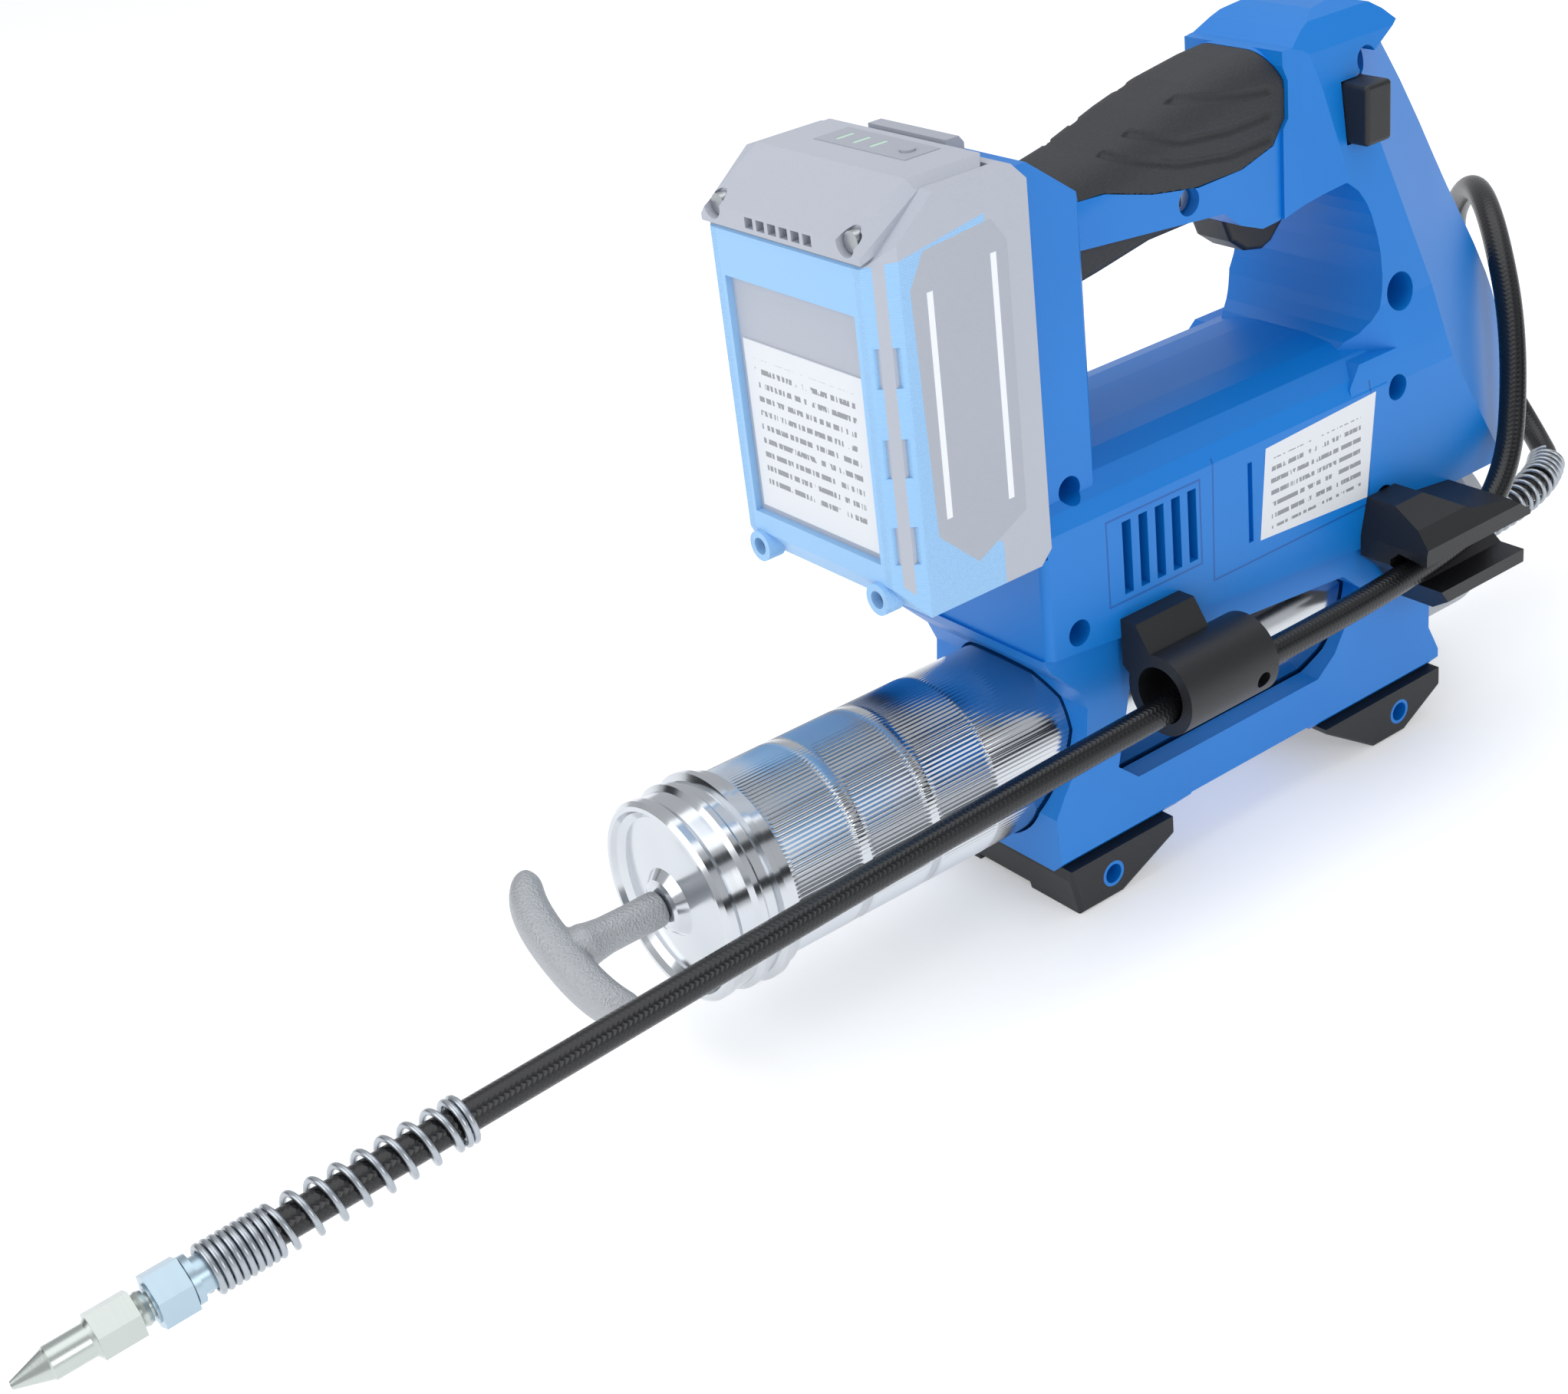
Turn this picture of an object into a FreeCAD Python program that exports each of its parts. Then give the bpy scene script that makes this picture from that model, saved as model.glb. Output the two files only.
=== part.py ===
import FreeCAD, Part
import math
import os
import Sketcher
from FreeCAD import Placement, Rotation, Vector

# Cordless grease gun. X runs along the barrel, pull handle at -X and hose outlet at +X.
# Z is up. The origin lies on the floor between the feet, straight below the barrel axis.

os.makedirs("parts", exist_ok=True)
doc = FreeCAD.newDocument("GreaseGun")

# ---------------------------------------------------------------- driving sizes
sheet = doc.addObject("Spreadsheet::Sheet", "Sizes")
SIZES = {
    "axis_z": 50.0,          # height of the barrel axis
    "barrel_od": 57.5,
    "barrel_wall": 1.6,
    "barrel_front": -199.0,
    "barrel_rear": 66.0,
    "cap_wall": 1.75,        # pressed cap, over the barrel
    "cap_reach": 19.0,       # how far the cap's skirt runs back over the barrel
    "cap_lip": 5.0,          # how far the cap stands before the barrel's end
    "bead_size": 2.2,
    "rod_dia": 7.0,
    "rod_rear": 50.0,
    "shank_dia": 11.0,
    "handle_reach": 41.0,    # pull bow in front of the cap
    "handle_half": 27.0,
    "handle_tilt": 22.0,
    "cup_x": 40.0,
    "cup_len": 22.0,
    "follower_wire": 2.0,
    "body_half": 36.0,
    "body_front": -88.0,
    "deck_z": 142.0,
    "sole_z": 86.0,
    "column_rear": -58.0,
    "column_half": 31.0,
    "column_rise": 92.0,     # top of the front column above the deck
    "grip_half": 18.0,
    "spine_half": 34.0,
    "spine_rear": 142.0,
    "wall": 3.0,
    "fit": 0.3,
    "cradle_half": 34.0,
    "cradle_sole": 17.0,
    "cradle_rear": 80.0,
    "cradle_gap": 0.85,      # air between barrel and cradle
    "foot_len": 42.0,
    "foot_half": 34.5,
    "front_foot_x": -83.0,
    "rear_foot_x": 87.0,
    "sleeve_od": 8.6,
    "sleeve_id": 6.4,
    "sleeve_z": 8.5,
    "motor_z": 112.0,
    "motor_od": 48.0,
    "motor_len": 66.0,
    "motor_front": -50.0,
    "shaft_dia": 8.0,
    "run_fit": 0.05,
    "gear_x": 80.0,
    "gear_wide": 8.0,
    "gear_radius": 22.0,
    "pinion_radius": 5.0,
    "crank_throw": 6.0,
    "plunger_x": 96.0,
    "plunger_dia": 10.0,
    "head_rear": 128.0,
    "head_wall": 2.25,       # head casting round the barrel's end
    "outlet_z": 36.0,
    "ball_dia": 7.0,
    "hose_od": 8.5,
    "hose_lane": -53.0,      # side offset of the straight hose run
    "holder_od": 25.4,
    "holder_bore": 17.8,
    "holder_y": -51.0,
    "holder_z": 74.0,
    "holder_front": -60.0,
    "holder_len": 36.0,
    "hose_end_x": -371.0,
    "hose_end_z": 56.2,
    "guard_wire": 1.8,
    "guard_gap": 0.85,       # air between hose and wire guard
    "nut_flats": 13.0,
    "nozzle_flats": 11.0,
    "nozzle_dia": 8.4,
    "pack_deep": 51.0,
    "pack_hang": 18.0,       # how far the battery hangs below the deck
    "pack_tall": 114.0,
    "pack_wall": 8.0,        # battery case at the ends of its cells
    "rail_half": 19.0,
    "rail_low": 132.0,
    "rail_high": 205.0,
    "slide_fit": 0.4,
    "cell_dia": 18.0,
    "cell_len": 62.0,
    "trigger_half": 8.0,
    "lock_wide": 11.0,
    "lock_tall": 18.0,
    "screw_dia": 3.0,
    "screw_head": 7.0,
    "recess_dia": 9.0,
    "label_thick": 0.8,
}
# Sizes that follow from the ones above.
SIZES.update({
    "cap_od": "=barrel_od + 2 * cap_wall",
    "cap_front": "=barrel_front - cap_lip",
    "cap_skirt": "=barrel_front + cap_reach",
    "handle_bow": "=cap_front - handle_reach",
    "head_od": "=barrel_od + 2 * head_wall",
    "cradle_bore": "=barrel_od + 2 * cradle_gap",
    "column_top": "=deck_z + column_rise",
    "pack_half": "=cell_len / 2 + pack_wall",
    "pack_rear": "=body_front + 1",
    "pack_front": "=pack_rear - pack_deep",
    "pack_sole": "=deck_z - pack_hang",
    "pack_top": "=pack_sole + pack_tall",
    "guard_id": "=hose_od + 2 * guard_gap",
})
for row, (alias, number) in enumerate(SIZES.items(), 1):
    sheet.set("A%d" % row, alias)
    sheet.setAlias("B%d" % row, alias)
    sheet.set("B%d" % row, str(number))
doc.recompute()
size = {alias: float(sheet.get(alias)) for alias in SIZES}


# ---------------------------------------------------------------- helpers
def bound(text):
    """Turn a formula in plain size names into one that reads the sheet."""
    out, word = "", ""
    for sign in str(text) + " ":
        if sign.isalnum() or sign == "_":
            word += sign
        else:
            out += ("Sizes." + word if word in SIZES else word) + sign
            word = ""
    return out.strip()


def drive(obj, prop, formula):
    obj.setExpression(prop, bound(formula))


def place(obj, at=(0, 0, 0), turn=None):
    if turn:
        obj.Placement = Placement(Vector(0, 0, 0), turn)
    for axis, formula in zip("xyz", at):
        if str(formula) != "0":
            drive(obj, "Placement.Base." + axis, formula)


ALONG_X = Rotation(Vector(0, 1, 0), 90)
ALONG_Y = Rotation(Vector(1, 0, 0), -90)


def name(obj, label):
    obj.Label = label
    return obj


def box(label, x, y, z):
    """Block between two corners, each axis given as (low, high)."""
    obj = doc.addObject("Part::Box", label)
    for prop, (low, high) in zip(("Length", "Width", "Height"), (x, y, z)):
        drive(obj, prop, "(%s) - (%s)" % (high, low))
    place(obj, (x[0], y[0], z[0]))
    return name(obj, label)


def rod(label, radius, length, at, turn=None):
    obj = doc.addObject("Part::Cylinder", label)
    drive(obj, "Radius", radius)
    drive(obj, "Height", length)
    place(obj, at, turn)
    return name(obj, label)


def cone(label, low, high, length, at, turn=None):
    obj = doc.addObject("Part::Cone", label)
    drive(obj, "Radius1", low)
    drive(obj, "Radius2", high)
    drive(obj, "Height", length)
    place(obj, at, turn)
    return name(obj, label)


def ball(label, radius, at):
    obj = doc.addObject("Part::Sphere", label)
    drive(obj, "Radius", radius)
    place(obj, at)
    return name(obj, label)


def hexbar(label, flats, length, at, turn=None):
    obj = doc.addObject("Part::Prism", label)
    obj.Polygon = 6
    drive(obj, "Circumradius", "(%s) / 1.7320508" % flats)
    drive(obj, "Height", length)
    place(obj, at, turn)
    return name(obj, label)


def fuse(label, *shapes):
    obj = doc.addObject("Part::MultiFuse", label)
    obj.Shapes = list(shapes)
    return name(obj, label)


def common(label, *shapes):
    obj = doc.addObject("Part::MultiCommon", label)
    obj.Shapes = list(shapes)
    return name(obj, label)


def cut(label, base, *tools):
    obj = doc.addObject("Part::Cut", label)
    obj.Base = base
    obj.Tool = tools[0] if len(tools) == 1 else fuse(label + "_tools", *tools)
    return name(obj, label)


def mirrored(obj, label):
    """Copy on the other side of the centre plane y = 0."""
    twin = doc.addObject("Part::Mirroring", label)
    twin.Source = obj
    twin.Normal = Vector(0, 1, 0)
    return name(twin, label)


def sketch_in(body, plane, corners):
    """Closed outline through corners whose coordinates are formulas."""
    sketch = body.newObject("Sketcher::SketchObject", body.Name + "_outline")
    base = [f for f in body.Origin.OriginFeatures if f.Role == plane][0]
    sketch.AttachmentSupport = [(base, "")]
    sketch.MapMode = "FlatFace"
    count = len(corners)
    ring = [Vector(40 * math.cos(2 * math.pi * i / count), 40 * math.sin(2 * math.pi * i / count), 0)
            for i in range(count)]
    sketch.addGeometry([Part.LineSegment(ring[i], ring[(i + 1) % count]) for i in range(count)])
    rules = [Sketcher.Constraint("Coincident", i, 2, (i + 1) % count, 1) for i in range(count)]
    for i, point in enumerate(ring):
        rules.append(Sketcher.Constraint("DistanceX", -1, 1, i, 1, point.x))
        rules.append(Sketcher.Constraint("DistanceY", -1, 1, i, 1, point.y))
    sketch.addConstraint(rules)
    for i, (across, up) in enumerate(corners):
        sketch.setExpression("Constraints[%d]" % (count + 2 * i), bound(across))
        sketch.setExpression("Constraints[%d]" % (count + 2 * i + 1), bound(up))
    return sketch


def slab(label, plane, corners, depth, at=(0, 0, 0), turn=None, both=True):
    """Body with one pad: the outline raised by depth, to both sides or to one."""
    body = doc.addObject("PartDesign::Body", label)
    sketch = sketch_in(body, plane, corners)
    pad = body.newObject("PartDesign::Pad", label + "_pad")
    pad.Profile = sketch
    pad.SideType = "Symmetric" if both else "One side"
    drive(pad, "Length", depth)
    place(body, at, turn)
    return name(body, label)


def turned(label, outline, at=(0, 0, 0)):
    """Body of revolution about X: outline points are (x, radius)."""
    body = doc.addObject("PartDesign::Body", label)
    sketch = sketch_in(body, "XZ_Plane", outline)
    spin = body.newObject("PartDesign::Revolution", label + "_turn")
    spin.Profile = sketch
    spin.ReferenceAxis = (sketch, ["H_Axis"])
    spin.Angle = 360
    place(body, at)
    return name(body, label)


def dress(kind, prop, body, width, pick):
    """Round or bevel the chosen edges of a body's tip, with a smaller width where the full one won't fit."""
    doc.recompute()
    base = body.Tip
    edges = ["Edge%d" % (i + 1) for i, e in enumerate(base.Shape.Edges) if pick(e)]
    if not edges:
        raise RuntimeError("no edge to dress on " + body.Label)
    volume = base.Shape.Volume
    for share in (1.0, 0.6, 0.35):
        dressed = body.newObject(kind, body.Name + "_dressed")
        dressed.Base = (base, edges)
        drive(dressed, prop, "(%s) * %g" % (width, share))
        doc.recompute()
        good = not ("Invalid" in dressed.State or "Error" in dressed.State or dressed.Shape.isNull())
        if good and dressed.Shape.isValid() and abs(dressed.Shape.Volume - volume) < 0.3 * volume:
            return body
        body.removeObject(dressed)
        doc.removeObject(dressed.Name)
        body.Tip = base
        doc.recompute()
    print("left sharp:", body.Label)
    return body


def soften(body, radius, pick):
    return dress("PartDesign::Fillet", "Radius", body, radius, pick)


def chamfered(body, width, pick):
    return dress("PartDesign::Chamfer", "Size", body, width, pick)


def feature(label, shape, at=(0, 0, 0)):
    obj = doc.addObject("Part::Feature", label)
    obj.Shape = shape
    place(obj, at)
    return name(obj, label)


def rim(edge, axis="Y"):
    """True for an edge that runs round a slab's face rather than through it."""
    lows = {"X": edge.BoundBox.XLength, "Y": edge.BoundBox.YLength, "Z": edge.BoundBox.ZLength}
    return lows[axis] < 0.01


def near(edge, x=None, y=None, z=None, within=1.0):
    mid = edge.BoundBox.Center
    return all(want is None or abs(have - want) < within
               for have, want in ((mid.x, x), (mid.y, y), (mid.z, z)))


# ---------------------------------------------------------------- barrel, cap and follower
barrel_body = rod("barrel_tube", "barrel_od / 2", "barrel_rear - barrel_front",
                  ("barrel_front", 0, "axis_z"), ALONG_X)
barrel_hole = rod("barrel_hole", "barrel_od / 2 - barrel_wall", "barrel_rear - barrel_front + 2",
                  ("barrel_front - 1", 0, "axis_z"), ALONG_X)
KNURL_BANDS = ((0.5, 24.5), (27.5, 50.5), (53.0, 76.0))


def band_gap(label, start, end):
    ring = rod(label + "_outer", "barrel_od / 2 + 1", end - start,
               ("cap_skirt + %s" % start, 0, "axis_z"), ALONG_X)
    core = rod(label + "_core", "barrel_od / 2 - 0.35", end - start + 2,
               ("cap_skirt + %s" % (start - 1), 0, "axis_z"), ALONG_X)
    return cut(label, ring, core)


gaps = [band_gap("band_gap_%d" % i, KNURL_BANDS[i][1], KNURL_BANDS[i + 1][0]) for i in range(2)]
barrel = cut("barrel", barrel_body, barrel_hole, *gaps)

# Pressed cap: skirt over the barrel, two beads, rolled rim and a dished face with a collar.
skirt_r = "cap_od / 2"
barrel_cap = turned("barrel_cap", [
    ("cap_skirt", "barrel_od / 2 + run_fit"),
    ("cap_skirt", skirt_r),
    ("cap_skirt - 3", skirt_r),
    ("cap_skirt - 4", "cap_od / 2 + bead_size * 0.8"),
    ("cap_skirt - 6", "cap_od / 2 + bead_size * 0.8"),
    ("cap_skirt - 7", "cap_od / 2 - 0.3"),
    ("cap_skirt - 10", "cap_od / 2 - 0.3"),
    ("cap_skirt - 11.2", "cap_od / 2 + bead_size * 0.5"),
    ("cap_skirt - 13", "cap_od / 2 + bead_size * 0.5"),
    ("cap_skirt - 14.2", "cap_od / 2 - 0.5"),
    ("cap_skirt - 19", "cap_od / 2 - 0.8"),
    ("cap_skirt - 20.5", "cap_od / 2 + 0.2"),
    ("cap_front + 1.2", "cap_od / 2 + 0.2"),
    ("cap_front", "cap_od / 2 - 1"),
    ("cap_front", "cap_od / 2 - 2.4"),
    ("cap_front + 1.6", "cap_od / 2 - 3.4"),
    ("cap_front + 3.2", "cap_od / 2 - 5.5"),
    ("cap_front + 1", "shank_dia / 2 + 5"),
    ("cap_front - 1.6", "shank_dia / 2 + 2.4"),
    ("cap_front - 2.2", "shank_dia / 2 + 1"),
    ("cap_front - 2.2", "rod_dia / 2 + run_fit"),
    ("cap_front + 4.6", "rod_dia / 2 + run_fit"),
    ("cap_front + 4.6", "barrel_od / 2 + run_fit"),
], (0, 0, "axis_z"))
cap_gasket_ring = rod("gasket_disc", "barrel_od / 2 - barrel_wall - 0.4", 2.0,
                      ("cap_front + 4.6", 0, "axis_z"), ALONG_X)
cap_gasket_hole = rod("gasket_hole", "rod_dia / 2 + 1", 4, ("cap_front + 3.6", 0, "axis_z"), ALONG_X)
cap_gasket = cut("cap_gasket", cap_gasket_ring, cap_gasket_hole)

follower_rod = rod("follower_rod", "rod_dia / 2", "rod_rear - cap_front + 10",
                   ("cap_front - 10", 0, "axis_z"), ALONG_X)

# Cast pull handle: round shank with a bowed crossbar, tilted about the barrel axis.
shank = rod("pull_shank", "shank_dia / 2", "cap_front - handle_bow - 10.5",
            ("handle_bow + 8", 0, 0), ALONG_X)
bar_outline = [
    ("handle_bow", "-handle_half * 0.28"), ("handle_bow", "handle_half * 0.28"),
    ("handle_bow + 3.2", "handle_half * 0.72"), ("handle_bow + 8.4", "handle_half"),
    ("handle_bow + 13.2", "handle_half * 1.07"), ("handle_bow + 15", "handle_half * 0.98"),
    ("handle_bow + 12.4", "handle_half * 0.68"), ("handle_bow + 11", "handle_half * 0.3"),
    ("handle_bow + 11", "-handle_half * 0.3"), ("handle_bow + 12.4", "-handle_half * 0.68"),
    ("handle_bow + 15", "-handle_half * 0.98"), ("handle_bow + 13.2", "-handle_half * 1.07"),
    ("handle_bow + 8.4", "-handle_half"), ("handle_bow + 3.2", "-handle_half * 0.72"),
]
crossbar = slab("pull_crossbar", "XY_Plane", bar_outline, "shank_dia + 2")
soften(crossbar, "2.4", lambda e: rim(e, "Z"))
pull_blank = fuse("pull_blank", shank, crossbar)
pull_bore = rod("pull_bore", "rod_dia / 2 + 0.03", 9, ("cap_front - 10", 0, 0), ALONG_X)
t_handle = cut("t_handle", pull_blank, pull_bore)
place(t_handle, (0, 0, "axis_z"), Rotation(Vector(1, 0, 0), size["handle_tilt"]))

# Follower: rubber cup that wipes the bore, on a steel washer at the rod's end.
cup_r = "barrel_od / 2 - barrel_wall - 0.06"
follower_cup = turned("follower_cup", [
    ("cup_x", "rod_dia / 2"), ("cup_x + 4", "rod_dia / 2"), ("cup_x + 4", "barrel_od / 2 - 7"),
    ("cup_x + cup_len - 3", "barrel_od / 2 - 5"), ("cup_x + cup_len - 3", cup_r),
    ("cup_x - 3", cup_r), ("cup_x - 3", "barrel_od / 2 - 6"), ("cup_x", "barrel_od / 2 - 7"),
], (0, 0, "axis_z"))
cup_washer_disc = rod("washer_disc", 14, 1.5, ("cup_x + 4", 0, "axis_z"), ALONG_X)
cup_washer_hole = rod("washer_hole", "rod_dia / 2", 4, ("cup_x + 3", 0, "axis_z"), ALONG_X)
cup_washer = cut("cup_washer", cup_washer_disc, cup_washer_hole)


def wound(label, spots, wire, at=(0, 0, 0)):
    """Round wire through a list of closely spaced spots, with flat ends."""
    rings, side = [], Vector(0, 0, 1)
    for before, spot, after in zip(spots, spots[1:], spots[2:]):
        heading = (after - before).normalize()
        side = (side - heading * side.dot(heading)).normalize()
        ring = Part.Circle(spot, heading, wire / 2)
        ring.XAxis = side
        rings.append(ring.toShape())
    skin = Part.Compound([Part.makeRuledSurface(one, two) for one, two in zip(rings, rings[1:])]
                         + [Part.Face(Part.Wire(rings[0])), Part.Face(Part.Wire(rings[-1]))])
    skin.sewShape()
    solid = Part.makeSolid(skin.Shells[0])
    if solid.Volume < 0:
        solid.reverse()
    return feature(label, solid, at)


def upright_spring(label, radius, wire, height, turns, at):
    """Small compression spring wound about Z from its foot."""
    steps = int(turns * 13)
    spots = []
    for i in range(steps + 1):
        angle = 2 * math.pi * turns * i / steps
        spots.append(Vector(radius * math.cos(angle), radius * math.sin(angle), wire / 2 + height * i / steps))
    return wound(label, spots, wire, at)


def coil(label, inner, wire, start, end, turns, at=(0, 0, 0)):
    """Round wire wound about X from start to end, with close-wound turns at both ends."""
    radius = inner / 2 + wire / 2
    pitch = (end - start - wire) / turns
    path = Part.makeHelix(pitch, pitch * turns, radius)
    ring = Part.Wire(Part.makeCircle(wire / 2, Vector(radius, 0, 0), Vector(0, 1, 0)))
    pipe = Part.Wire(path).makePipeShell([ring], True, True)
    pipe.rotate(Vector(0, 0, 0), Vector(0, 1, 0), 90)
    pipe.translate(Vector(start + wire / 2, 0, 0))
    return feature(label, pipe, at)


follower_spring = coil("follower_spring", 38.0, size["follower_wire"],
                       size["cap_front"] + 7.0, size["cup_x"] - 0.3, 22, (0, 0, "axis_z"))

# ---------------------------------------------------------------- pump head at the rear
head_shell = turned("head_shell", [
    ("barrel_rear - 8", 0), ("barrel_rear - 8", "head_od / 2 - 1"), ("barrel_rear - 6", "head_od / 2"),
    ("head_rear - 16", "head_od / 2"), ("head_rear - 4", "head_od / 2 - 6"),
    ("head_rear", "head_od / 2 - 14"), ("head_rear", 0),
], (0, 0, "axis_z"))
head_block = box("head_block", ("plunger_x - 20", "plunger_x + 14"), (-18, 18),
                 ("axis_z", "axis_z + head_od / 2 + 3.4"))
head_boss = rod("head_boss", 9.5, 20, ("head_rear - 20", 0, "outlet_z"), ALONG_X)
head_socket = rod("head_socket", "barrel_od / 2 + run_fit", 30, ("barrel_rear - 29.8", 0, "axis_z"), ALONG_X)
grease_port = cone("grease_port", 24, 4, 20, ("barrel_rear + 0.2", 0, "axis_z"), ALONG_X)
plunger_bore = rod("plunger_bore", "plunger_dia / 2 + run_fit", 70, ("plunger_x", 0, "outlet_z - 4"))
outlet_bore = rod("outlet_bore", "ball_dia / 2 + 0.4", "head_rear - plunger_x - 8",
                  ("plunger_x + 8", 0, "outlet_z"), ALONG_X)
outlet_throat = rod("outlet_throat", 2.0, 20, ("plunger_x", 0, "outlet_z"), ALONG_X)
fitting_seat = rod("fitting_seat", 6.0, 14, ("head_rear - 6", 0, "outlet_z"), ALONG_X)
pump_head = cut("pump_head", fuse("head_casting", head_shell, head_block, head_boss), head_socket,
                grease_port, plunger_bore, outlet_bore, outlet_throat, fitting_seat)

check_valve_ball = ball("check_valve_ball", "ball_dia / 2", ("plunger_x + 12", 0, "outlet_z"))
check_valve_spring = coil("check_valve_spring", 4.2, 0.8, size["plunger_x"] + 15.4,
                          size["head_rear"] - 6.2, 5, (0, 0, "outlet_z"))

# Plunger with a yoke plate whose slot faces the crank pin.
plunger_stem = rod("plunger_stem", "plunger_dia / 2", 75, ("plunger_x", 0, "outlet_z + 12"))
yoke_plate = box("yoke_plate", ("plunger_x - 2", "plunger_x + 2"), (-11, 11),
                 ("outlet_z + 86", "motor_z + gear_radius + pinion_radius + crank_throw + 8"))
yoke_slot = box("yoke_slot", ("plunger_x - 3", "plunger_x + 3"), (-8, 8),
                ("motor_z + gear_radius + pinion_radius + crank_throw - 3.3",
                 "motor_z + gear_radius + pinion_radius + crank_throw + 3.3"))
pump_plunger = cut("pump_plunger", fuse("plunger_blank", plunger_stem, yoke_plate), yoke_slot)

# ---------------------------------------------------------------- motor and reduction
can_tube = rod("can_tube", "motor_od / 2", "motor_len", ("motor_front", 0, "motor_z"), ALONG_X)
can_room = rod("can_room", "motor_od / 2 - 2.5", "motor_len - 6", ("motor_front + 3", 0, "motor_z"), ALONG_X)
can_bore = rod("can_bore", "shaft_dia / 2 + run_fit", "motor_len + 2",
               ("motor_front - 1", 0, "motor_z"), ALONG_X)
motor_can = cut("motor_can", can_tube, can_room, can_bore)
motor_armature = turned("motor_armature", [
    ("motor_front - 13", 0), ("motor_front - 13", "shaft_dia / 2"),
    ("motor_front + 12", "shaft_dia / 2"), ("motor_front + 12", "motor_od / 2 - 5"),
    ("motor_front + motor_len - 14", "motor_od / 2 - 5"), ("motor_front + motor_len - 14", "shaft_dia / 2"),
    ("gear_x - 5", "shaft_dia / 2"), ("gear_x - 5", 3), ("gear_x + gear_wide", 3),
    ("gear_x + gear_wide", 0),
], (0, 0, "motor_z"))
pinion_disc = rod("pinion_disc", "pinion_radius - 0.15", "gear_wide", ("gear_x", 0, "motor_z"), ALONG_X)
pinion_hole = rod("pinion_hole", 3, "gear_wide + 2", ("gear_x - 1", 0, "motor_z"), ALONG_X)
drive_pinion = cut("drive_pinion", pinion_disc, pinion_hole)
fan_hub = rod("fan_hub", 9, 8, ("motor_front - 12", 0, "motor_z"), ALONG_X)
fan_blades = [box("fan_blade_%d" % i, (0, 7), ("-motor_od / 2 + 2.5", "motor_od / 2 - 2.5"), (-0.9, 0.9))
              for i in range(5)]
for i, blade in enumerate(fan_blades):
    turn = Rotation(Vector(1, 0, 0), i * 36)
    reach = size["motor_od"] / 2 - 2.5
    blade.setExpression("Placement.Base.y", None)
    blade.setExpression("Placement.Base.z", None)
    start = turn.multVec(Vector(0, -reach, -0.9))
    blade.Placement = Placement(start, turn)
    drive(blade, "Placement.Base.x", "motor_front - 11.5")
    drive(blade, "Placement.Base.z", "motor_z + %.4f" % start.z)
    drive(blade, "Placement.Base.y", "%.4f" % start.y)
fan_hole = rod("fan_hole", "shaft_dia / 2", 12, ("motor_front - 13", 0, "motor_z"), ALONG_X)
cooling_fan = cut("cooling_fan", fuse("fan_blank", fan_hub, *fan_blades), fan_hole)

gear_z = "motor_z + gear_radius + pinion_radius"
gear_disc = rod("gear_disc", "gear_radius - 0.15", "gear_wide", ("gear_x", 0, gear_z), ALONG_X)
gear_hole = rod("gear_hole", "shaft_dia / 2 + run_fit", "gear_wide + 2", ("gear_x - 1", 0, gear_z), ALONG_X)
crank_pin = rod("crank_pin", 3, 5.2, ("gear_x + gear_wide", 0, gear_z + " + crank_throw"), ALONG_X)
reduction_gear = cut("reduction_gear", fuse("gear_blank", gear_disc, crank_pin), gear_hole)

bracket_plate = box("bracket_plate", ("gear_x - 4", "gear_x - 1"), (-17, 17),
                    ("axis_z + head_od / 2 + 3.4", gear_z + " + 14"))
bracket_bore = rod("bracket_bore", "shaft_dia / 2 + 1.5", 12, ("gear_x - 8", 0, "motor_z"), ALONG_X)
gear_axle = rod("gear_axle", "shaft_dia / 2", "gear_wide + 1.5", ("gear_x - 2", 0, gear_z), ALONG_X)
gear_bracket = fuse("gear_bracket", cut("bracket_blank", bracket_plate, bracket_bore), gear_axle)

# ---------------------------------------------------------------- blue housing halves
body_section = [
    ("-body_half", "sole_z - 20"), ("body_half", "sole_z - 20"), ("body_half", "deck_z - 13"),
    ("body_half - 2.5", "deck_z - 8"), ("body_half - 8", "deck_z - 3.2"), ("body_half - 16", "deck_z - 0.8"),
    ("body_half - 26", "deck_z"), ("-(body_half - 26)", "deck_z"), ("-(body_half - 16)", "deck_z - 0.8"),
    ("-(body_half - 8)", "deck_z - 3.2"), ("-(body_half - 2.5)", "deck_z - 8"), ("-body_half", "deck_z - 13"),
]
body_bulge = slab("body_bulge", "YZ_Plane", body_section, "56 - body_front", ("body_front", 0, 0), None, False)
soften(body_bulge, "2.5", lambda e: e.BoundBox.XMax < 0.5 and e.BoundBox.ZMax > size["sole_z"] - 19)

SEAM = [("body_front - 1", "sole_z + 5"), ("body_front + 27", "sole_z + 2"), ("body_front + 44", "sole_z"),
        (46, "sole_z - 9"), (67, "sole_z - 25"), ("cradle_rear", "sole_z - 27")]

def eased(corners, first, last):
    """The same outline with the corners from first to last cut twice, so that it runs as a curve."""
    def between(one, two, share):
        return tuple("(%s) * %g + (%s) * %g" % (a, 1 - share, b, share) for a, b in zip(one, two))
    out = list(corners[:first])
    for one, corner, two in zip(corners[first - 1:], corners[first:last + 1], corners[first + 1:]):
        out += [between(corner, one, 0.3), between(corner, two, 0.3)]
    return out + list(corners[last + 1:])


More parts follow.
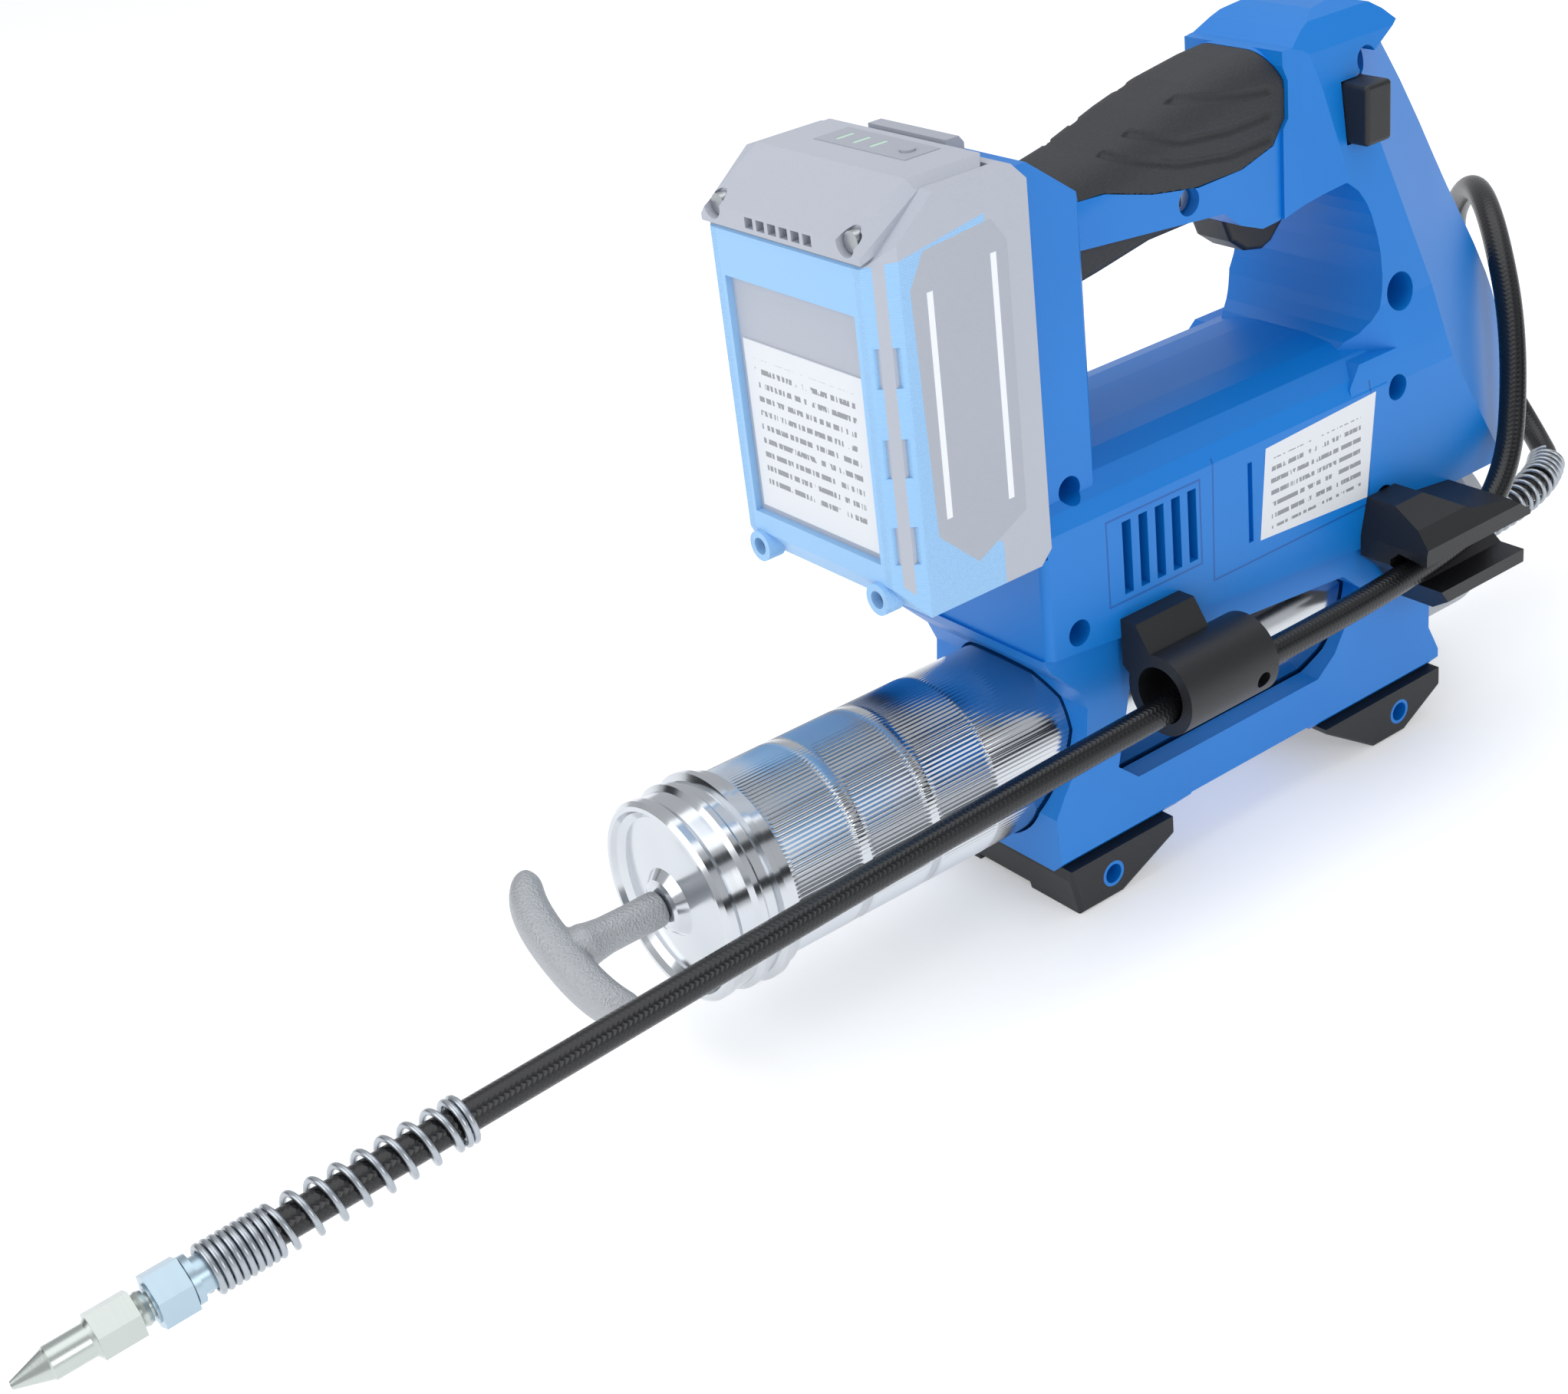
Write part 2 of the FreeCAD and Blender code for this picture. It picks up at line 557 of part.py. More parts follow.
rear_profile = [
    (49, "deck_z"), (55, "deck_z + 3"), (59.5, "deck_z + 11"), (61.5, "deck_z + 22"), (60, "deck_z + 35"),
    (56, "deck_z + 45"), (50, "deck_z + 50"), (29, "deck_z + 43"), (22, "deck_z + 42.5"),
    (13, "deck_z + 46"), (6, "deck_z + 51.5"), ("column_rear - 2", "deck_z + 58"),
    ("column_rear - 2", "deck_z + 74"), (-36, "deck_z + 79"), (-15, "deck_z + 85.5"), (1, "deck_z + 89.5"),
    (19, "deck_z + 92"), (34, "deck_z + 93"), (42, "deck_z + 98"), (52, "deck_z + 101"),
    (66, "deck_z + 100"), (77, "deck_z + 93"), (86, "deck_z + 81"), (100, "deck_z + 61"),
    (116, "deck_z + 31"), ("spine_rear - 19", "deck_z + 20"), ("spine_rear - 5", "deck_z - 3"),
    ("spine_rear", "deck_z - 18"), ("spine_rear - 1", "deck_z - 36"), ("spine_rear - 9", "deck_z - 52"),
    ("spine_rear - 24", "deck_z - 58"), ("cradle_rear + 4", "deck_z - 58"), ("cradle_rear", "deck_z - 62"),
    ("cradle_rear", "sole_z - 27"), (67, "sole_z - 25"), (46, "sole_z - 9"), (40, "sole_z"), (40, "deck_z - 10"),
]
rear_profile = rear_profile[:1] + eased(rear_profile, 18, 29)[1:]
rear_profile = eased(rear_profile, 1, 5)
spine_side = slab("spine_side", "XZ_Plane", rear_profile, "2 * body_half + 10")
spine_width = slab("spine_width", "YZ_Plane", [
    ("-body_half", "sole_z - 40"), ("body_half", "sole_z - 40"), ("body_half", "deck_z - 14"),
    ("body_half - 1.5", "deck_z - 6"), ("spine_half - 3", "deck_z + 10"), ("spine_half - 7", "deck_z + 42"),
    ("spine_half - 11", "deck_z + 74"), ("spine_half - 13", "deck_z + 90"), ("spine_half - 17", "deck_z + 98"),
    ("spine_half - 26", "deck_z + 103"), ("-(spine_half - 26)", "deck_z + 103"),
    ("-(spine_half - 17)", "deck_z + 98"), ("-(spine_half - 13)", "deck_z + 90"),
    ("-(spine_half - 11)", "deck_z + 74"), ("-(spine_half - 7)", "deck_z + 42"),
    ("-(spine_half - 3)", "deck_z + 10"), ("-(body_half - 1.5)", "deck_z - 6"), ("-body_half", "deck_z - 14"),
], "240", (-70, 0, 0), None, False)
spine_zone = box("spine_zone", (30, "spine_rear + 5"), (-45, 45), (40, 260))
spine_bulk = common("spine_bulk", spine_side, spine_width, spine_zone)
# Long bevel down the back of the spine, one each side.
RAKE = Rotation(Vector(0, 1, 0), -31)
back_bevel = slab("back_bevel", "XY_Plane", [
    (138, "-(spine_half + 3.5)"), (205, "2"), (205, -70), (138, -70)], 320, (0, 0, 0), RAKE)
back_bevel_twin = mirrored(back_bevel, "back_bevel_twin")
# The spine narrows towards the grip, so that the loop's rear wall is rounded to the hand.
flare_side = slab("flare_side", "XY_Plane", [
    (20, "grip_half + 1.2"), (31, "grip_half + 1.2"), (37, "grip_half + 2.2"), (43, "grip_half + 4.2"),
    (49, "grip_half + 7"), (55, "grip_half + 10.5"), (60, "grip_half + 14"), (64, "grip_half + 17"),
    (67, "grip_half + 22"), (67, 60), (20, 60)], 120, (0, 0, "deck_z - 4"), None, False)
flare_twin = mirrored(flare_side, "flare_twin")
spine_shape = cut("spine_shape", spine_bulk, back_bevel, back_bevel_twin, flare_side, flare_twin)

# The hand grip bar: same side outline, narrower, with well rounded corners.
grip_bar = slab("grip_bar", "XZ_Plane", [
    (50, "deck_z + 50"), (29, "deck_z + 43"), (22, "deck_z + 42.5"), (13, "deck_z + 46"),
    (6, "deck_z + 51.5"), ("column_rear - 4", "deck_z + 58"), ("column_rear - 4", "deck_z + 74"),
    (-36, "deck_z + 79"), (-15, "deck_z + 85.5"), (1, "deck_z + 89.5"), (19, "deck_z + 92"),
    (34, "deck_z + 93"), (50, "deck_z + 93"),
], "2 * grip_half")


def long_rim(edge):
    box_ = edge.BoundBox
    return box_.YLength < 0.01 and box_.XLength > 0.5 and box_.ZMin > size["deck_z"] + 70


soften(grip_bar, "11", long_rim)

column_side = slab("column_side", "XZ_Plane", [
    ("body_front + 2", "deck_z - 30"), ("column_rear", "deck_z - 30"), ("column_rear", "column_top - 17"),
    ("column_rear - 3", "column_top - 14"), ("body_front + 8", "column_top"), ("body_front + 4", "column_top"),
    ("body_front + 2", "column_top - 3"),
], "2 * column_half")
chamfered(column_side, "5", lambda e: near(e, x=size["column_rear"], within=0.5) and e.BoundBox.ZLength > 40)
housing_bulk = fuse("housing_bulk", body_bulge, spine_shape, grip_bar, column_side)

# The underside follows the seam with the barrel cradle.
under_seam = slab("under_seam", "XZ_Plane",
                  [("body_front - 20", "sole_z + 5")] + SEAM + [("cradle_rear", 0), ("body_front - 20", 0)], 120)
clear_barrel = rod("clear_barrel", "cradle_bore / 2", 220, ("body_front - 20", 0, "axis_z"), ALONG_X)
clear_head = rod("clear_head", "head_od / 2 + fit", 110, ("barrel_rear - 8 - fit", 0, "axis_z"), ALONG_X)
clear_block = box("clear_block", ("plunger_x - 20 - fit", "plunger_x + 14 + fit"), ("-18 - fit", "18 + fit"),
                  ("axis_z", "axis_z + head_od / 2 + 3.4"))

# Rooms inside the housing.
motor_room = rod("motor_room", "motor_od / 2 + fit", "motor_len + 18",
                 ("motor_front - 16", 0, "motor_z"), ALONG_X)
gear_room = box("gear_room", (12, "spine_rear - 40"), (-22, 22), ("axis_z + head_od / 2 + 3.4", "deck_z - 9"))
big_gear_room = rod("big_gear_room", "gear_radius + 1.2", "plunger_x - gear_x + 10",
                    ("gear_x - 5", 0, gear_z), ALONG_X)
column_room = box("column_room", ("body_front + 5", "column_rear - wall"), ("-column_half + 5", "column_half - 5"),
                  ("deck_z - 46", "deck_z + 68"))
handle_room = slab("handle_room", "XZ_Plane", [
    ("column_rear - 5", "deck_z + 61"), ("column_rear - 5", "deck_z + 69"), (2, "deck_z + 83"),
    (50, "deck_z + 90"), (64, "deck_z + 86"), (64, "deck_z + 50"), (58, "deck_z + 50"), (48, "deck_z + 54"),
    (18, "deck_z + 54"), (10, "deck_z + 56")], "20")
spine_room = slab("spine_room", "XZ_Plane", [
    (60, "deck_z + 84"), (74, "deck_z + 74"), (100, "deck_z + 26"), (100, "deck_z + 10"),
    (76, "deck_z + 10"), (72, "deck_z + 40"), (64, "deck_z + 54")], "26")
trigger_slot = box("trigger_slot", (15, 56), ("-trigger_half - fit", "trigger_half + fit"),
                   ("deck_z + 30", "deck_z + 62"))
lock_slot = box("lock_slot", ("57 - lock_wide / 2 - fit", "57 + lock_wide / 2 + fit"), (-50, 50),
                ("deck_z + 70 - lock_tall / 2 - fit", "deck_z + 70 + lock_tall / 2 + fit"))

VENTS = [box("vent_%d" % i, (-57.5 + 6.6 * i, -54.0 + 6.6 * i), (-50, 50), ("motor_z - 11", "motor_z + 12"))
         for i in range(5)]
side_slot = box("side_slot", (-6.0, -4.0), ("-body_half - 1", "-body_half + 1.6"), ("motor_z - 14", "motor_z + 12"))
label_outline = [(-1, "sole_z + 11"), (47, "sole_z + 8"), (51, "sole_z + 42"), (2, "sole_z + 40")]
label_pocket = slab("label_pocket", "XZ_Plane", label_outline, "label_thick * 2", (0, "-body_half", 0))
pack_seat = box("pack_seat", ("body_front - 20", "body_front + 2"), (-60, 60), ("pack_sole - 1", 320))
rail_tenon_hole = box("rail_tenon_hole", ("body_front + 1", "body_front + 9"), (-10, 10), ("rail_low + 20", "rail_high - 20"))

# Screws: (x, height above the deck, half width of the shell there, large recess)
SCREWS = [(63, 83, 21, 0), (-8, 59, 18, 0), (68, 12, 30, 1), (61, -16, 36, 0), (55, -51, 36, 0),
          (-72, -4, 31, 0), (-76, -46, 36, 0)]
bosses, recesses, screws = [], [], []
for i, (sx, sz, half, large) in enumerate(SCREWS):
    height = "deck_z + %g" % sz
    grow = 1.8 if large else 0
    bosses.append(rod("screw_boss_%d" % i, "recess_dia / 2 + 0.4", 2 * (half - 4),
                      (sx, 4 - half, height), ALONG_Y))
    recesses.append(rod("screw_recess_%d" % i, "recess_dia / 2 - 0.4 + %g" % grow, half - 8,
                        (sx, "-%g" % (half + 4), height), ALONG_Y))
    recesses.append(rod("screw_pilot_%d" % i, "screw_dia / 2 + 0.15", 22, (sx, -11.9, height), ALONG_Y))
    head = rod("screw_head_%d" % i, "screw_head / 2", 2.4, (sx, -14.3, height), ALONG_Y)
    shank_ = rod("screw_shank_%d" % i, "screw_dia / 2", 20, (sx, -11.9, height), ALONG_Y)
    cross = box("screw_cross_%d" % i, (sx - 0.5, sx + 0.5), (-14.4, -13.2), (height + " - 2", height + " + 2"))
    screws.append(cut("screw_%d" % i, fuse("screw_blank_%d" % i, head, shank_), cross))
for i, hole in enumerate(recesses[::2]):
    half = SCREWS[i][2]
    drive(hole, "Placement.Base.y", "-%g" % (half + 4))
    drive(hole, "Height", "%g" % (half + 4 - 11.9))
housing_screws = doc.addObject("Part::Compound", "housing_screws")
housing_screws.Links = screws
name(housing_screws, "housing_screws")

hollow = cut("housing_hollow", housing_bulk, under_seam, clear_barrel, clear_head, clear_block, motor_room,
             gear_room, big_gear_room, column_room, handle_room, spine_room)
posts = common("screw_posts", fuse("all_bosses", *bosses), housing_bulk)
housing_whole = cut("housing_whole", fuse("housing_posts", hollow, posts), trigger_slot, lock_slot, side_slot,
                    label_pocket, rail_tenon_hole, pack_seat, *(VENTS + recesses))

# Rubber skin on the hand grip: laid over the bar, so the bar gives way to it.
skin_low = [("column_rear + 1", "deck_z + 78"), ("column_rear + 1", "deck_z + 70.5"), (-40, "deck_z + 70"),
            (-22, "deck_z + 65"), (-4, "deck_z + 62"), (14, "deck_z + 62.5"), (27, "deck_z + 66"),
            (32, "deck_z + 73"), (32, "deck_z + 84"), (28, "deck_z + 93"), (24, "deck_z + 110"),
            ("column_rear + 1", "deck_z + 110")]
skin_zone = slab("skin_zone", "XZ_Plane", skin_low, 60)
skin_core = slab("skin_core", "XZ_Plane", [
    ("column_rear - 8", "deck_z + 40"), ("column_rear - 8", "deck_z + 71.6"), (-36, "deck_z + 76.6"),
    (-15, "deck_z + 83.1"), (1, "deck_z + 87.1"), (19, "deck_z + 89.6"), (40, "deck_z + 90.6"),
    (40, "deck_z + 40")], "2 * grip_half - 4.8")
soften(skin_core, "9", lambda e: e.BoundBox.YLength < 0.01 and e.BoundBox.XLength > 0.5
       and e.BoundBox.ZMin > size["deck_z"] + 68)
skin_strip = cut("skin_strip", skin_zone, skin_core)
top_grip = common("top_grip", grip_bar, skin_strip)

# Rubber pad under the grip, thickest next to the column.
under_grip = slab("under_grip", "XZ_Plane", [
    ("column_rear", "deck_z + 57.6"), (4, "deck_z + 51.9"), (6, "deck_z + 50.6"), (-20, "deck_z + 50"),
    (-40, "deck_z + 46.6"), ("column_rear", "deck_z + 44")], "2 * grip_half - 6")
soften(under_grip, "3", lambda e: e.BoundBox.YLength < 0.01 and e.BoundBox.ZMax < size["deck_z"] + 51
       and e.BoundBox.XLength > 3)
under_grip_seat = slab("under_grip_seat", "XZ_Plane", [
    ("column_rear", "deck_z + 57.6"), (4, "deck_z + 51.9"), (6, "deck_z + 50.6"), (6, "deck_z + 40"),
    ("column_rear", "deck_z + 40")], "2 * grip_half - 6")

left_side = box("left_side", (-150, 200), (-80, 0), (0, 300))
right_side = box("right_side", (-150, 200), (0, 80), (0, 300))
housing_cored = cut("housing_cored", housing_whole, skin_strip, under_grip_seat)
housing_left = common("housing_left", housing_cored, left_side)
housing_right = common("housing_right", housing_cored, right_side)

rating_label = slab("rating_label", "XZ_Plane", label_outline, "label_thick",
                    (0, "-body_half + label_thick / 2", 0))

# ---------------------------------------------------------------- controls
trigger = slab("trigger", "XZ_Plane", [
    (17, "deck_z + 56"), (17, "deck_z + 44"), (20, "deck_z + 37"), (26, "deck_z + 32.5"), (33, "deck_z + 31"),
    (37, "deck_z + 32.5"), (42, "deck_z + 37.5"), (49, "deck_z + 41"), (54, "deck_z + 41.5"),
    (55, "deck_z + 45"), (54, "deck_z + 52"), (40, "deck_z + 52"), (40, "deck_z + 56")], "2 * trigger_half")
soften(trigger, "2", lambda e: e.BoundBox.YLength < 0.01 and e.BoundBox.ZMax < size["deck_z"] + 46
       and e.BoundBox.XLength > 2)
trigger_switch = box("trigger_switch", (20, 46), (-9, 9), ("deck_z + 64", "deck_z + 81"))
trigger_spring = upright_spring("trigger_spring", 3.4, 0.8, 6.4, 4.5, (28, 0, "deck_z + 56.2"))

lock_button = slab("lock_button", "XZ_Plane", [
    ("57 - lock_wide / 2", "deck_z + 70 - lock_tall / 2"), ("57 + lock_wide / 2", "deck_z + 70 - lock_tall / 2"),
    ("57 + lock_wide / 2", "deck_z + 70 + lock_tall / 2"), ("57 - lock_wide / 2", "deck_z + 70 + lock_tall / 2"),
], "56", (0, -4, 0))
soften(lock_button, "1.4", lambda e: True)

control_board = box("control_board", ("column_rear - wall - 2", "column_rear - wall - 0.4"), (-17, 17),
                    ("deck_z + 8", "deck_z + 54"))

# ---------------------------------------------------------------- barrel cradle and feet
cradle_outline = SEAM + [
    ("cradle_rear", "sole_z - 52"), ("cradle_rear + 5", "cradle_sole + 7"), ("cradle_rear + 5", "cradle_sole"),
    ("body_front + 1", "cradle_sole"), ("body_front", "axis_z - 13"), ("body_front + 4", "axis_z - 6"),
    ("body_front + 9", "axis_z + 1"), ("body_front + 14", "axis_z + 10"), ("body_front + 15", "axis_z + 19"),
    ("body_front + 12", "axis_z + 26"), ("body_front + 2", "axis_z + 36"),
]
cradle_block = slab("cradle_block", "XZ_Plane", cradle_outline, "2 * cradle_half")
chamfered(cradle_block, "4", lambda e: rim(e, "Y") and near(e, z=size["cradle_sole"], within=0.2)
          and e.BoundBox.XLength > 50)
window_outline = [("body_front + 26", "axis_z - 6"), ("body_front + 33", "axis_z + 22"),
                  ("body_front + 42", "axis_z + 26"), (38, "axis_z + 19"), (46, "axis_z + 12"),
                  (34, "axis_z - 7"), (26, "axis_z - 13"), ("body_front + 34", "axis_z - 13")]
cradle_window = slab("cradle_window", "XZ_Plane", window_outline, 120)
cradle_belly = slab("cradle_belly", "XZ_Plane", [
    ("front_foot_x + foot_len + 4", "cradle_sole - 1"), ("front_foot_x + foot_len + 9", "cradle_sole + 4.5"),
    ("rear_foot_x - foot_len - 23", "cradle_sole + 4.5"), ("rear_foot_x - foot_len - 18", "cradle_sole - 1")], 120)
barrel_cradle = cut("barrel_cradle", cradle_block, clear_barrel, clear_head, cradle_window, cradle_belly)


def foot(label, outline, hole_x):
    block = slab(label + "_block", "XZ_Plane", outline, "2 * foot_half")
    soften(block, "1.6", lambda e: rim(e, "Y") and e.BoundBox.ZMax < size["cradle_sole"] - 0.5)
    bore = rod(label + "_bore", "sleeve_od / 2", "2 * foot_half + 4", (hole_x, "-foot_half - 2", "sleeve_z"), ALONG_Y)
    arch = box(label + "_arch", ("%s - 60" % hole_x, "%s + 60" % hole_x), (-12, 12), (-5, 2.5))
    return cut(label, block, bore, arch)


front_hole, rear_hole = "front_foot_x + 16", "rear_foot_x - 22"
front_foot = foot("front_foot", [
    ("front_foot_x - 1", "cradle_sole"), ("front_foot_x - 1", "cradle_sole - 4"), ("front_foot_x + 2", 0),
    ("front_foot_x + 20", 0), ("front_foot_x + foot_len", 10), ("front_foot_x + foot_len", "cradle_sole")],
    front_hole)
rear_foot = foot("rear_foot", [
    ("rear_foot_x - foot_len - 16", "cradle_sole"), ("rear_foot_x - foot_len - 14", "cradle_sole - 3"),
    ("rear_foot_x - 34", 0), ("rear_foot_x - 19", 0), ("rear_foot_x - 2", 9.5), ("rear_foot_x - 2", "cradle_sole")],
    rear_hole)


def sleeve(label, x):
    outer = rod(label + "_outer", "sleeve_od / 2", "2 * foot_half", (x, "-foot_half", "sleeve_z"), ALONG_Y)
    inner = rod(label + "_inner", "sleeve_id / 2", "2 * foot_half + 2", (x, "-foot_half - 1", "sleeve_z"), ALONG_Y)
    return cut(label, outer, inner)


foot_sleeves = doc.addObject("Part::Compound", "foot_sleeves")
foot_sleeves.Links = [sleeve("front_sleeve", front_hole), sleeve("rear_sleeve", rear_hole)]
name(foot_sleeves, "foot_sleeves")

# ---------------------------------------------------------------- hose holder and clip
holder_tube = rod("holder_tube", "holder_od / 2", "holder_len", ("holder_front", "holder_y", "holder_z"), ALONG_X)
holder_block = slab("holder_block", "YZ_Plane", [
    ("-body_half", "holder_z + 5"), ("-body_half", "holder_z + 20"), ("-body_half - 6", "holder_z + 20"),
    ("holder_y + 2", "holder_z + 10"), ("holder_y + 2", "holder_z - 6"), ("-body_half - 4", "holder_z + 2")],
    "24", ("holder_front", 0, 0), None, False)
holder_bore_tool = rod("holder_bore_tool", "holder_bore / 2", "holder_len + 20",
                       ("holder_front - 10", "holder_y", "holder_z"), ALONG_X)
holder_port = rod("holder_port", 2.6, 20, ("holder_front + holder_len - 6", "holder_y - 20", "holder_z - 3"), ALONG_Y)
hose_holder = cut("hose_holder", fuse("holder_blank", holder_tube, holder_block), holder_bore_tool, holder_port)

clip_profile = [
    ("-body_half", "holder_z - 20"), ("-body_half", "holder_z + 20"), ("hose_lane + 6", "holder_z + 20"),
    ("hose_lane - 4", "holder_z + 15"), ("hose_lane - 9", "holder_z + 10"), ("hose_lane - 9", "holder_z + 4.5"),
    ("hose_lane + 2", "holder_z + 6"), ("hose_lane + 5.2", "holder_z + 3"), ("hose_lane + 5.2", "holder_z - 6"),
    ("hose_lane + 2", "holder_z - 8.5"), ("hose_lane - 7", "holder_z - 8.5"), ("hose_lane - 7", "holder_z - 13"),
    ("hose_lane + 3", "holder_z - 20")]
clip_long = slab("clip_long", "YZ_Plane", clip_profile, "60", (40, 0, 0), None, False)
clip_side = slab("clip_side", "XZ_Plane", [
    (44, "holder_z + 8"), (47, "holder_z + 20"), (60, "holder_z + 20"), (70, "holder_z + 14"),
    (86, "holder_z + 12"), (94, "holder_z + 6"), (94, "holder_z - 14"), (88, "holder_z - 20"),
    (62, "holder_z - 20"), (52, "holder_z - 6"), (44, "holder_z + 1")], 200)

# ---------------------------------------------------------------- hose and its fittings
ROUTE = [
    Vector(size["head_rear"] + 10, 0, size["outlet_z"]), Vector(195, 0, size["outlet_z"]),
    Vector(213, 29, 47), Vector(204, 45, 77), Vector(192, 51, 124), Vector(170, 24, 153),
    Vector(146, -4, 152), Vector(126, -30.5, 119.5), Vector(97, size["hose_lane"] + 2.5, 78),
    Vector(42, size["hose_lane"], 70.8), Vector(-60, size["hose_lane"], 70.6),
    Vector(-165, size["hose_lane"], 66.8), Vector(-268, size["hose_lane"], 61.3),
    Vector(size["hose_end_x"], size["hose_lane"], size["hose_end_z"]),
]


def route_bends(points):
    """Straight runs and tangent arcs through the corners of a route."""
    pieces, here = [], points[0]
    for before, corner, after in zip(points, points[1:], points[2:]):
        inward, outward = (corner - before).normalize(), (after - corner).normalize()
        setback = 0.45 * min((corner - before).Length, (after - corner).Length)
        half_turn = inward.getAngle(outward) / 2
        start, end = corner - inward * setback, corner + outward * setback
        bisector = (outward - inward).normalize()
        radius = setback / math.tan(half_turn)
        middle = corner + bisector * (radius / math.cos(half_turn) - radius)
        pieces.append(Part.LineSegment(here, start))
        pieces.append(Part.Arc(start, middle, end))
        print("bend %5.1f deg, radius %6.1f" % (math.degrees(2 * half_turn), radius))
        here = end
    pieces.append(Part.LineSegment(here, points[-1]))
    return Part.Wire([piece.toShape() for piece in pieces])


def hose_tube(route, radius):
    start = route.Edges[0].valueAt(route.Edges[0].FirstParameter)
    heading = route.Edges[0].tangentAt(route.Edges[0].FirstParameter)
    ring = Part.Wire(Part.makeCircle(radius, start, heading))
    return route.makePipeShell([ring], True, False)


hose_route = route_bends(ROUTE)
hose = feature("hose", hose_tube(hose_route, size["hose_od"] / 2))
hose_clearance = feature("hose_clearance", hose_tube(hose_route, size["hose_od"] / 2 + 0.35))
print("hose length %.1f, volume over section times length %.4f" % (
    hose_route.Length, hose.Shape.Volume / (math.pi * size["hose_od"] ** 2 / 4 * hose_route.Length)))
rear_hose_clip = cut("rear_hose_clip", common("clip_blank", clip_long, clip_side), hose_clearance)


def guard_coil(label, route, start, end, steps):
    """Wire guard wound round the hose: steps are (share of the length, turns) laid end to end."""
    step = 0.05
    points = route.discretize(Number=int(route.Length / step))
    lift = (size["guard_id"] + size["guard_wire"]) / 2
    side = Vector(0, 0, 1)
    angle, spots, last = 0.0, [], -1.0
    first, final = int(start / step), int(end / step)
    for k in range(first, final):
        heading = (points[k + 1] - points[k]).normalize()
        side = (side - heading * side.dot(heading)).normalize()
        other = heading.cross(side)
        share, done = (k - first) / (final - first), 0.0
        for length, turns in steps:
            if share < done + length:
                break
            done += length
        angle += 2 * math.pi * turns / length / (final - first)
        if angle - last > 0.5:
            last = angle
            spots.append(points[k] + side * (lift * math.cos(angle)) + other * (lift * math.sin(angle)))
    return wound(label, spots, size["guard_wire"])


outlet_guard = guard_coil("outlet_guard", hose_route, 9.6, 64.0, ((0.05, 1.4), (0.71, 8.6), (0.24, 5.0)))
coupler_guard = guard_coil("coupler_guard", hose_route, hose_route.Length - 71.6, hose_route.Length - 1.2,
                           ((0.055, 2.0), (0.682, 7.5), (0.263, 9.5)))

fitting_r = "hose_od / 2 + 0.3"
fitting_stem = turned("fitting_stem", [
    ("head_rear - 5.8", 2), ("head_rear - 5.8", 5.8), ("head_rear", 5.8), ("head_rear", 6.4),
    ("head_rear + 1", 6.4), ("head_rear + 1", 5.6), ("head_rear + 8", 5.6), ("head_rear + 8", 6.4),
    ("head_rear + 9", 6.8), ("head_rear + 17", 6.8), ("head_rear + 17.6", 6.2), ("head_rear + 18.5", 6.2),
    ("head_rear + 18.5", fitting_r), ("head_rear + 10", fitting_r), ("head_rear + 10", 2)],
    (0, 0, "outlet_z"))
fitting_hex = hexbar("fitting_hex", 14, 6, ("head_rear + 1.5", 0, "outlet_z"), ALONG_X)
fitting_hole = rod("fitting_hole", 2, 30, ("head_rear - 8", 0, "outlet_z"), ALONG_X)
outlet_fitting = cut("outlet_fitting", fuse("fitting_blank", fitting_stem, fitting_hex), fitting_hole)

# Coupler end: crimped ferrule and nut on the hose, then the screwed nozzle, all along the last run.
DROOP = Rotation(Vector(0, 1, 0), -math.degrees(math.atan2(61.3 - size["hose_end_z"], -268 - size["hose_end_x"])))
end_at = ("hose_end_x", "hose_lane", "hose_end_z")
ferrule = turned("ferrule", [
    (14, fitting_r), (14, "guard_id / 2 - 0.35"), (-1.2, "guard_id / 2 - 0.35"), (-1.2, 6.2), (-3, 6.2),
    (-3, 5.0), (-12.5, 5.0), (-12.5, 3.1), (0, 3.1), (0, fitting_r)])
nut_hex = hexbar("nut_hex", "nut_flats", 8.6, (-12, 0, 0), ALONG_X)
nut_bore = rod("nut_bore", 3.1, 20, (-20, 0, 0), ALONG_X)
hose_end_nut = cut("hose_end_nut", fuse("nut_blank", ferrule, nut_hex), nut_bore)
place(hose_end_nut, end_at, DROOP)
nozzle_body = turned("nozzle_body", [
    (-2, 1.2), (-2, 3.0), (-13.2, 3.0), (-13.2, 4.0), (-14.4, 4.4), (-15.6, 4.0), (-16, "nozzle_flats / 2"),
    (-26, "nozzle_flats / 2"), (-27.4, "nozzle_dia / 2"), (-37, "nozzle_dia / 2"), (-37.4, "nozzle_dia / 2 - 0.4"),
    (-46, 1.0), (-46, 0.6), (-38, 0.6), (-38, 1.2)])
nozzle_hex = hexbar("nozzle_hex", "nozzle_flats", 10.4, (-26.4, 0, 0), ALONG_X)
nozzle_core = rod("nozzle_core", 1.2, 40, (-38, 0, 0), ALONG_X)
nozzle = cut("nozzle", fuse("nozzle_blank", nozzle_body, nozzle_hex), nozzle_core)
place(nozzle, end_at, DROOP)

# ---------------------------------------------------------------- battery pack and its rail
rail_neck = box("rail_neck", ("body_front - 2", "body_front + 2"), ("-rail_half + 5", "rail_half - 5"), ("rail_low", "rail_high"))
rail_head = box("rail_head", ("body_front - 7", "body_front - 2"), ("-rail_half", "rail_half"), ("rail_low", "rail_high"))
rail_tenon = box("rail_tenon", ("body_front + 2", "body_front + 8"), (-10, 10), ("rail_low + 20", "rail_high - 20"))
blade_slots = [box("blade_slot_%d" % i, ("body_front - 8", "body_front - 3"), (y - 0.6, y + 0.6),
                   ("rail_low + 4", "rail_low + 26")) for i, y in enumerate((-9, 0, 9))]
battery_rail = cut("battery_rail", fuse("rail_blank", rail_neck, rail_head, rail_tenon), *blade_slots)
contact_blades = doc.addObject("Part::Compound", "contact_blades")
contact_blades.Links = [box("blade_%d" % i, ("body_front - 7", "body_front - 3"), (y - 0.6, y + 0.6),
                            ("rail_low + 4", "rail_low + 26")) for i, y in enumerate((-9, 0, 9))]
name(contact_blades, "contact_blades")

